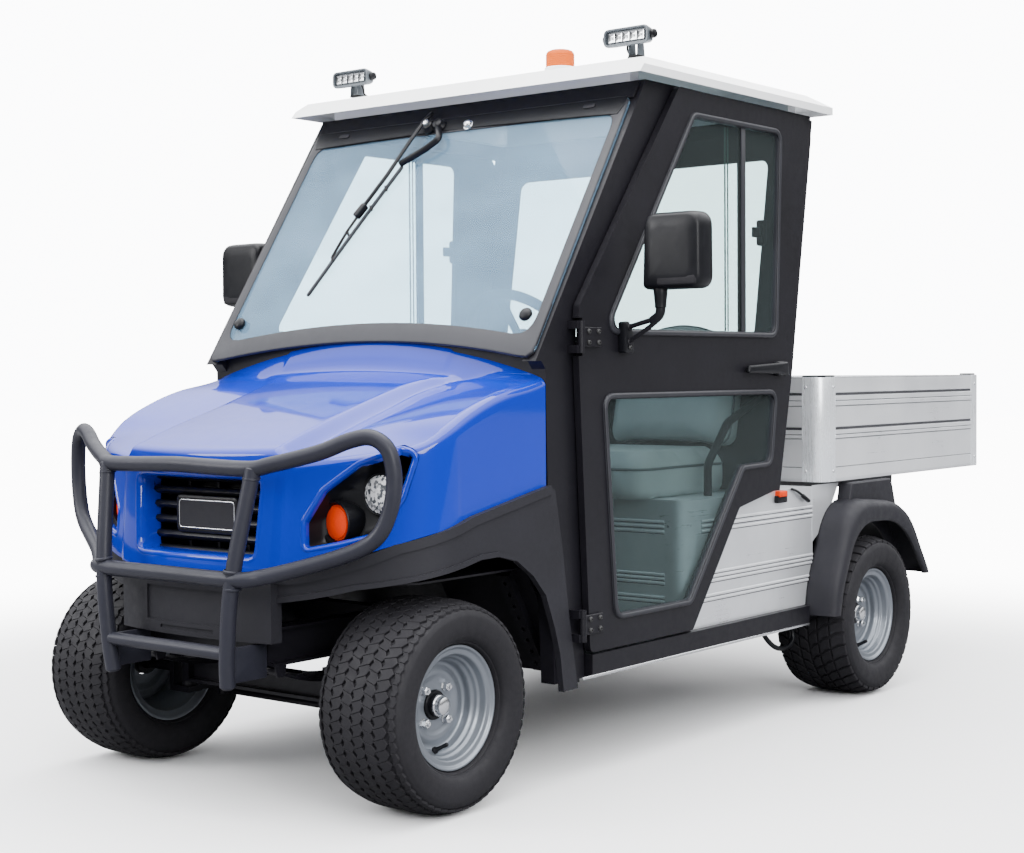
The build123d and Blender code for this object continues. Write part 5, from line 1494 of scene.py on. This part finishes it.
# dark strips laid in the groove bottoms as painted shade: (low, high, depth)
grooveShadeBands = [(0.7272, 0.7283, 0.0020), (0.8157, 0.8173, 0.0018), (0.8287, 0.8303, 0.0005), (0.8443, 0.8523, 0.0020),
               (0.9177, 0.9193, 0.0018), (0.9347, 0.9363, 0.0005), (0.9518, 0.9598, 0.0020)]


def wallStrip(name, profile, start, end, outward, finishName, thick=0.003, sharp=28):
    # a rolled wall strip from start to end on the ground plan
    loops = []
    for p in (start, end):
        front = [Vector((p[0], p[1], z)) - Vector((*outward, 0)) * deep for z, deep in profile]
        back = [Vector((p[0], p[1], z)) - Vector((*outward, 0)) * (deep + thick) for z, deep in reversed(profile)]
        loops.append(front + back)
    return loopsMesh(name, loops, finishName, sharp)


def addBed():
    b = bedShape
    front, rear = b["front"] + b["post"], b["rear"] - 0.046
    strips = [wallStrip("planks", plankProfile, (side * b["half"], front - 0.001),
                        (side * b["half"], rear + 0.001), (side, 0), "plankMetal") for side in (1, -1)]
    reach = b["half"] - b["post"] + 0.001
    strips.append(wallStrip("planks", plankProfile, (-reach, b["front"]), (reach, b["front"]), (0, -1), "plankMetal"))
    mount(joined("bedPlanks", strips), "bed", "aluminium")
    # painted shadows: dark strips along the grooves
    shadows = []
    for low, high, deep in grooveShadeBands:
        band = [(low, deep), (high, deep)]
        for side in (1, -1):
            shadows.append(wallStrip("groove", band, (side * b["half"], front), (side * b["half"], rear), (side, 0),
                                     "grooveShade", 0.0004))
        shadows.append(wallStrip("groove", band, (-reach, b["front"]), (reach, b["front"]), (0, -1), "grooveShade",
                                 0.0004))
    mount(joined("bedGrooveShadows", shadows), "bed", "black_steel")
    tall = [(b["low"], 0.0035), (b["low"] + 0.0006, -0.0006), (b["low"] + 0.003, -0.0012),
            (b["top"] - 0.003, -0.0012), (b["top"] - 0.0005, -0.0006), (b["top"], 0.0035)]
    nose = faceFrame(Vector((0, b["front"], 0)), (1, 0, 0), (0, 0, 1))
    posts, turns = [], 12
    for side in (1, -1):
        centre = Vector((side * (b["half"] - b["corner"]), b["front"] + b["corner"]))
        line = [Vector((side * (b["half"] - b["post"]), b["front"]))]
        for i in range(turns + 1):    # round the front corner
            a = math.pi / 2 * i / turns
            line.append(centre + Vector((side * math.sin(a), -math.cos(a))) * b["corner"])
        line.append(Vector((side * b["half"], b["front"] + b["post"])))
        loops = []
        for i, p in enumerate(line):
            along = (line[min(i + 1, len(line) - 1)] - line[max(i - 1, 0)]).normalized()
            outward = Vector((along.y, -along.x)) * side
            loops.append([Vector((*(p - outward * deep), z)) for z, deep in tall])
        posts.append(loopsMesh("cornerPost", loops, "postMetal", 30))
        wall = sidePlace(side * b["half"], side)
        for z in b["rivets"]:
            for place, at in ((wall, b["front"] + b["inset"]), (nose, b["half"] - b["inset"]),
                              (wall, b["rear"] - 0.020)):
                posts.append(screwHeads("rivet", place, [(side * at, z)], b["rivet"], "brightMetal"))
        ring = rectangle(0.050, 0.325, 0.003, 3, (side * (b["rear"] - 0.0235), 0.8465))
        posts.append(slab("rearPost", ring, wall, [(0, -0.0030), (0, 0.0004), (0.0008, 0.0012)], "postMetal"))
    mount(joined("bedPosts", posts), "bed", "aluminium")
    flat = faceFrame(Vector((0, 0, b["top"] - 0.0015)), (1, 0, 0), (0, 1, 0))
    caps, capEdge = [], [(0, 0.0), (0, 0.0055), (0.002, 0.0072)]
    for side in (1, -1):
        ring = roundedRing([(side * x, b["front"] + y) for x, y in b["cap"]], b["capCorners"])
        caps.append(slab("postCap", ring, flat, capEdge, "blackPlastic"))
        ring = rectangle(0.040, 0.048, 0.006, 4, (side * 0.603, b["rear"] - 0.026))
        caps.append(slab("postCap", ring, flat, capEdge, "blackPlastic"))
    mount(joined("bedCaps", caps), "bed", "black_plastic")
    print("bed dressed")


boardShape = {"pitch": 0.1005, "gap": 0.004, "height": 0.0022, "low": 0.699}
innerProfile = [(0.7030, 0.002), (0.7045, -0.0016), (0.8210, -0.0016), (0.8225, 0.0015), (0.8245, 0.0015),
                (0.8260, -0.0024), (0.8340, -0.0024), (0.8355, 0.0015), (0.8375, 0.0015), (0.8390, -0.0016),
                (0.9250, -0.0016), (0.9265, 0.0015), (0.9285, 0.0015), (0.9300, -0.0024), (0.9380, -0.0024),
                (0.9395, 0.0015), (0.9415, 0.0015), (0.9430, -0.0016), (1.0030, -0.0016), (1.0045, 0.002)]


def addBedInside():
    gateLow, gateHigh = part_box("tailgate")
    front, rear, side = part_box("bed_box")[0].y + bedShape["wall"], gateLow.y, bedShape["half"] - bedShape["wall"]
    count = 12
    boards = []
    for i in range(count):    # floor boards, front to rear
        middle = (i - (count - 1) / 2) * boardShape["pitch"]
        half = boardShape["pitch"] / 2 - boardShape["gap"] / 2
        z, h = boardShape["low"], boardShape["height"]
        section = [(-half, z - 0.001), (-half, z + h * 0.6), (-half + 0.002, z + h), (-0.024, z + h),
                   (-0.0225, z + h * 0.4), (-0.0195, z + h * 0.4), (-0.018, z + h), (0.018, z + h),
                   (0.0195, z + h * 0.4), (0.0225, z + h * 0.4), (0.024, z + h), (half - 0.002, z + h),
                   (half, z + h * 0.6), (half, z - 0.001)]
        loops = [[Vector((middle + x, y, up)) for x, up in section] for y in (front + 0.002, rear - 0.006)]
        boards.append(loopsMesh("board", loops, "plankMetal", 28))
    for sign in (1, -1):
        boards.append(wallStrip("inner", innerProfile, (sign * side, front + 0.003), (sign * side, rear - 0.022),
                                (-sign, 0), "plankMetal", 0.001))
    boards.append(wallStrip("inner", innerProfile, (-side + 0.003, front), (side - 0.003, front), (0, 1),
                            "plankMetal", 0.001))
    mount(joined("bedLining", boards), "bed", "aluminium")
    gate = [(z, deep) for z, deep in innerProfile if z > 0.74]
    gate = [(0.7330, 0.002), (0.7345, -0.0016)] + gate
    half = gateHigh.x - 0.008
    faces = [wallStrip("gateFace", gate, (-half, gateHigh.y), (half, gateHigh.y), (0, 1), "plankMetal", 0.001),
             wallStrip("gateFace", gate, (-half, gateLow.y), (half, gateLow.y), (0, -1), "plankMetal", 0.001)]
    mount(joined("gateFaces", faces), "tailgate", "aluminium")
    latches = []
    for sign in (1, -1):
        place = faceFrame(Vector((sign * (half - 0.030), gateHigh.y + 0.0016, 0)), (-1, 0, 0), (0, 0, 1))
        latches.append(slab("latchPlate", rectangle(0.044, 0.070, 0.006, 5, (0, 0.965)), place,
                            softEdge(0.002, 0.0008), "blackPlastic"))
        latches.append(slab("latchGrip", rectangle(0.020, 0.058, 0.008, 5, (0, 0.964)), place,
                            [(0, 0.001), (0, 0.0035), (0.002, 0.0055), (0.004, 0.0060)], "blackSteel"))
        latches.append(screwHeads("latchScrews", place @ Matrix.Translation((0, 0, 0.002)),
                                  [(a, 0.965 + b) for a in (-0.016, 0.016) for b in (-0.028, 0.028)], 0.0034,
                                  "brightMetal"))
    mount(joined("gateLatches", latches), "tailgate", "black_plastic")
    print("bed lined")


panelShape = {    # heights of the ribs; lines of (x, y, z), all in millimetres
    "half": 0.6, "seatHalf": 0.525, "ribs": [610, 596, 582, 462, 450, 438, 398, 386], "markerY": 1494,
    "sill": [(0.2522, -0.0004), (0.2526, -0.0014), (0.2580, -0.0016), (0.2590, -0.0004)],
    "lever": [(606, 1562, 672), (610, 1592, 662), (612, 1650, 632)],
    "grip": [(611, 1618, 649), (612, 1652, 631)],
    "pipe": [(560, 1450, 262), (566, 1478, 222), (570, 1530, 190), (572, 1590, 186), (570, 1628, 208),
             (560, 1630, 262)],
}


def addSides():
    s = panelShape
    seatLow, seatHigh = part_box("seat_base")
    front, rear = seatLow.y + 0.075, seatHigh.y - 0.002
    walls = [((side * s["half"], front), (side * s["half"], rear), (side, 0)) for side in (1, -1)]
    walls.append(((-s["seatHalf"], seatLow.y), (s["seatHalf"], seatLow.y), (0, -1)))
    ribs, shadows = [], []
    for height in s["ribs"]:
        z = height / 1000
        rib = [(z - 0.0040, 0.0), (z - 0.0030, -0.0020), (z, -0.0028), (z + 0.0030, -0.0020), (z + 0.0040, 0.0)]
        # a dark strip just below each rib: painted shadow
        line = [(z - 0.0062, -0.0003), (z - 0.0040, -0.0003)]
        for wall in walls:
            ribs.append(wallStrip("rib", rib, *wall, "plankMetal", 0.001))
            shadows.append(wallStrip("line", line, *wall, "grooveShade", 0.0008))
    mount(joined("sidePanelRibs", ribs), "chassis", "aluminium")
    mount(joined("sidePanelRibShadows", shadows), "chassis", "black_steel")
    parts, bright, markers = [], [], []
    markerY = spot(0, s["markerY"], 0).y
    for side in (1, -1):
        ends = [(side * 0.622, spot(0, y, 0).y) for y in (462, 1638)]
        bright.append(wallStrip("sillStrip", s["sill"], *ends, (side, 0), "brightMetal", 0.001))
        parts.append(slab("markerBase", rectangle(0.060, 0.022, 0.004, 4, (markerY * side, 0.646)),
                          sidePlace(side * s["half"], side), softEdge(0.012, 0.002), "blackPlastic"))
        lever, grip, pipe = ([spot(side * x, y, z) for x, y, z in s[key]] for key in ("lever", "grip", "pipe"))
        parts.append(tube("bedLever", smoothLine(lever, 4), 0.0055, "blackPlastic", 12, 0.7))
        parts.append(tube("bedLeverGrip", grip, 0.0078, "blackPlastic", 12, 0.8))
        parts.append(tube("sillPipe", smoothLine(pipe, 6), 0.0075, "blackPlastic", 14))
        markers.append(slab("marker", rectangle(0.046, 0.018, 0.004, 4, (markerY * side, 0.662)),
                            sidePlace(side * 0.612, side), [(0, -0.012), (0, 0.002), (0.002, 0.005), (0.005, 0.006)],
                            "amberLens"))
    mount(joined("sideFittings", parts), "chassis", "black_plastic")
    mount(joined("sillStrips", bright), "chassis", "silver_steel")
    mount(joined("sideMarkers", markers), "chassis", "lamp_glass")
    print("sides dressed")


padShape = {"shrink": 0.010, "voxel": 0.008, "pressure": 4.0, "cap": 0.026}


def swell(obj, cap):    # cloth under pressure, its movement held within the cap
    modify(obj, "REMESH", mode="VOXEL", voxel_size=padShape["voxel"])
    settle(obj)
    obj.data.materials.clear()
    start = [v.co.copy() for v in obj.data.vertices]
    scene = bpy.context.scene
    cloth = modify(obj, "CLOTH")
    cloth.settings.use_pressure = True
    cloth.settings.uniform_pressure_force = padShape["pressure"]
    cloth.settings.quality = 5
    cloth.settings.effector_weights.gravity = 0.0
    cloth.point_cache.frame_start, cloth.point_cache.frame_end = 1, 20
    for frameNumber in range(1, 21):
        scene.frame_set(frameNumber)
    settle(obj)
    scene.frame_set(1)
    for v, was in zip(obj.data.vertices, start):
        step = v.co - was
        if step.length > cap:
            v.co = was + step.normalized() * cap
    modify(obj, "CORRECTIVE_SMOOTH", iterations=4, use_only_smooth=True)
    modify(obj, "SUBSURF", levels=1, render_levels=1)
    settle(obj)
    obj.data.materials.clear()
    obj.data.materials.append(finish["greyVinyl"])
    shade(obj)
    return obj


def piping(name, pad, place, ring, height, radius, finishName):
    # a sewn cord on the pad's side, laid where the swelled side is
    tree = BVHTree.FromObject(pad, bpy.context.evaluated_depsgraph_get())
    middle = sum((p for p in ring), Vector((0, 0))) / len(ring)
    line = []
    for p in ring:
        far = middle + (p - middle) * 1.6
        origin, goal = place @ Vector((far.x, far.y, height)), place @ Vector((middle.x, middle.y, height))
        hit = tree.ray_cast(origin, (goal - origin).normalized())[0]
        if hit is not None:
            line.append(hit)
    loops, count = [], len(line)
    up = place.to_3x3() @ Vector((0, 0, 1))
    for i in range(count):
        along = (line[(i + 1) % count] - line[i - 1]).normalized()
        side = along.cross(up).normalized()
        loops.append([line[i] + (side * math.cos(a) + up * math.sin(a)) * radius
                      for a in [2 * math.pi * k / 8 for k in range(8)]])
    return loopsMesh(name, loops, finishName, 60, closed=True)


def addSeats():
    low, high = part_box("seat_cushion")
    s = padShape["shrink"]
    flat = faceFrame(Vector((0, 0, low.z)), (1, 0, 0), (0, 1, 0))
    tall = high.z - low.z
    outline = rectangle(high.x - low.x - 2 * s, high.y - low.y - 2 * s, 0.075, 10, (0, (low.y + high.y) / 2))
    pad = slab("seatCushion", outline, flat, [(0.012, 0.0005), (0.0, 0.012), (0.0, tall * 0.55), (0.006, tall * 0.74),
                                              (0.024, tall * 0.86), (0.060, tall * 0.90), (0.12, tall * 0.915)],
               "greyVinyl")
    swell(pad, padShape["cap"])
    for v in pad.data.vertices:    # flat where it rests on the box, and within its space
        v.co.z = min(max(v.co.z, low.z + 0.0003), high.z + 0.006)
    ring = evenRing(counterClockwise(outline), 0.02)
    seam = piping("seatPiping", pad, flat, ring, tall * 0.66, 0.0042, "vinylPiping")
    mount(pad, "chassis", "vinyl", "seat_cushion")
    mount(seam, "chassis", "vinyl")
    low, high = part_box("seat_backs")
    up = Vector((0, 86, 396)).normalized()
    lean = faceFrame(Vector((0, spot(0, 1350, 0).y, low.z)), (1, 0, 0), up)
    long = (high.z - low.z) / up.z
    for side, label in ((1, "Left"), (-1, "Right")):
        near, far = 0.040 + s, high.x - s
        width = far - near
        middle = side * (near + far) / 2
        half = width / 2
        points = [(middle - half, 0.012), (middle + half, 0.012), (middle + half, long * 0.60)]
        for k in range(1, 12):
            a = math.pi * k / 12
            points.append((middle + half * math.cos(a), long * 0.60 + long * 0.395 * math.sin(a)))
        points.append((middle - half, long * 0.60))
        outline = roundedRing(points, [0.05, 0.05] + [0.01] * 13, 5)
        outline = [Vector(p) for p in outline]
        pad = slab("seatBack" + label, outline, lean,
                   [(0.020, -0.088), (0.004, -0.080), (0.0, -0.066), (0.0, -0.030), (0.006, -0.016), (0.026, -0.009),
                    (0.06, -0.0065)], "greyVinyl")
        swell(pad, padShape["cap"] * 0.6)
        for v in pad.data.vertices:
            v.co.z = max(v.co.z, low.z + 0.0003)
        seam = piping("seatBackPiping" + label, pad, lean, evenRing(counterClockwise(outline), 0.02), -0.030, 0.0040,
                      "vinylPiping")
        mount(pad, "chassis", "vinyl", "seat_backs")
        mount(seam, "chassis", "vinyl")
    print("seats made")


addBullBar()
addFenders()
addDoors()
addMirrors()
addBed()
addBedInside()
addSides()
addSeats()


cameraPlace = {"spot": (3.190, -4.2885, 1.037), "azimuth": 38.51, "elevation": 1.86,
               "roll": -0.42, "lens": 60.68}
lampSet = {
    "overhead": dict(spot=(0.2, -0.6, 4.4), aim=(0.0, -0.2, 0.8), size=4.2, power=230),
    "frontLeft": dict(spot=(5.4, -3.4, 2.6), aim=(0.3, -0.4, 0.8), size=2.4, power=210),
    "frontRight": dict(spot=(-3.6, -5.6, 3.0), aim=(0.0, -0.8, 1.3), size=2.6, power=190),
    "rearFill": dict(spot=(-2.5, 5.5, 3.6), aim=(0.0, 0.6, 0.9), size=3.6, power=240),
}
backdrop = {"low": 0.2, "high": 4.2, "seen": 12.0, "near": 1.7, "far": 4.4}


def addCamera(place):
    a, e = math.radians(place["azimuth"]), math.radians(place["elevation"])
    back = Vector((math.sin(a) * math.cos(e), -math.cos(a) * math.cos(e), math.sin(e)))
    right = Vector((math.cos(a), math.sin(a), 0))
    up = back.cross(right)
    roll = math.radians(place["roll"])
    turnedRight = right * math.cos(roll) + up * math.sin(roll)
    turnedUp = back.cross(turnedRight)
    data = bpy.data.cameras.new("camera")
    data.lens, data.sensor_width = place["lens"], 36.0
    data.clip_start, data.clip_end = 0.05, 60.0
    camera = bpy.data.objects.new("camera", data)
    matrix = Matrix((turnedRight, turnedUp, back)).transposed().to_4x4()
    matrix.translation = Vector(place["spot"])
    camera.matrix_world = matrix
    bpy.context.scene.collection.objects.link(camera)
    bpy.context.scene.camera = camera


def addLamps(lamps):
    for name, lamp in lamps.items():
        data = bpy.data.lights.new(name, "AREA")
        data.shape, data.size, data.energy = "DISK", lamp["size"], lamp["power"]
        light = bpy.data.objects.new(name, data)
        light.location = lamp["spot"]
        toward = Vector(lamp["aim"]) - Vector(lamp["spot"])
        light.rotation_euler = toward.to_track_quat("-Z", "Y").to_euler()
        bpy.context.scene.collection.objects.link(light)


def addFloor():    # pale floor that fades into the backdrop
    bpy.ops.mesh.primitive_plane_add(size=60.0, location=(0, 0, 0))
    floor = bpy.context.object
    floor.name = "studioFloor"
    tree, shader, place = startMaterial("floorFinish", {"Roughness": 0.8})
    pale = ramp(tree, noise(tree, place, 0.6), (0.92, 0.92, 0.93), (0.95, 0.95, 0.95))
    reach = addNode(tree, "VectorMath", {0: place}, operation="LENGTH").outputs["Value"]
    fade = addNode(tree, "MapRange", {"Value": reach, "From Min": backdrop["near"], "From Max": backdrop["far"]},
                   interpolation_type="SMOOTHERSTEP").outputs["Result"]
    seen = addNode(tree, "LightPath").outputs["Is Camera Ray"]
    dimmed = addNode(tree, "Mix", {0: seen, 6: (0.2, 0.2, 0.21, 1), 7: pale}, data_type="RGBA").outputs[2]
    tree.links.new(dimmed, shader.inputs["Base Color"])    # bounces less light than it shows
    share = addNode(tree, "Math", {0: fade, 1: seen}, operation="MULTIPLY").outputs["Value"]
    glow = addNode(tree, "Emission", {"Color": (1, 1, 1, 1), "Strength": backdrop["seen"]})
    mixed = addNode(tree, "MixShader", {"Fac": share, 1: shader.outputs["BSDF"], 2: glow.outputs["Emission"]})
    tree.links.new(mixed.outputs["Shader"], tree.nodes["Material Output"].inputs["Surface"])
    floor.data.materials.append(finish["floorFinish"])
    print("floor laid")


def addWorld():    # a dim sky that the camera sees bright
    world = bpy.data.worlds.new("studioLight")
    world.use_nodes = True
    tree = world.node_tree
    sky = tree.nodes["Background"]
    sky.inputs["Color"].default_value = (0.97, 0.98, 1.0, 1)
    seen = addNode(tree, "LightPath").outputs["Is Camera Ray"]
    aim = addNode(tree, "SeparateXYZ", {"Vector": addNode(tree, "TexCoord").outputs["Generated"]}).outputs["Z"]
    dome = span(tree, aim, backdrop["low"], backdrop["high"], 0.15, 0.62)    # brighter overhead
    tree.links.new(addNode(tree, "Mix", {0: seen, 2: dome, 3: backdrop["seen"]}).outputs[0], sky.inputs["Strength"])
    bpy.context.scene.world = world
    print("backdrop lit")


addCamera(cameraPlace)
addLamps(lampSet)
addFloor()
addWorld()

print("scene done")
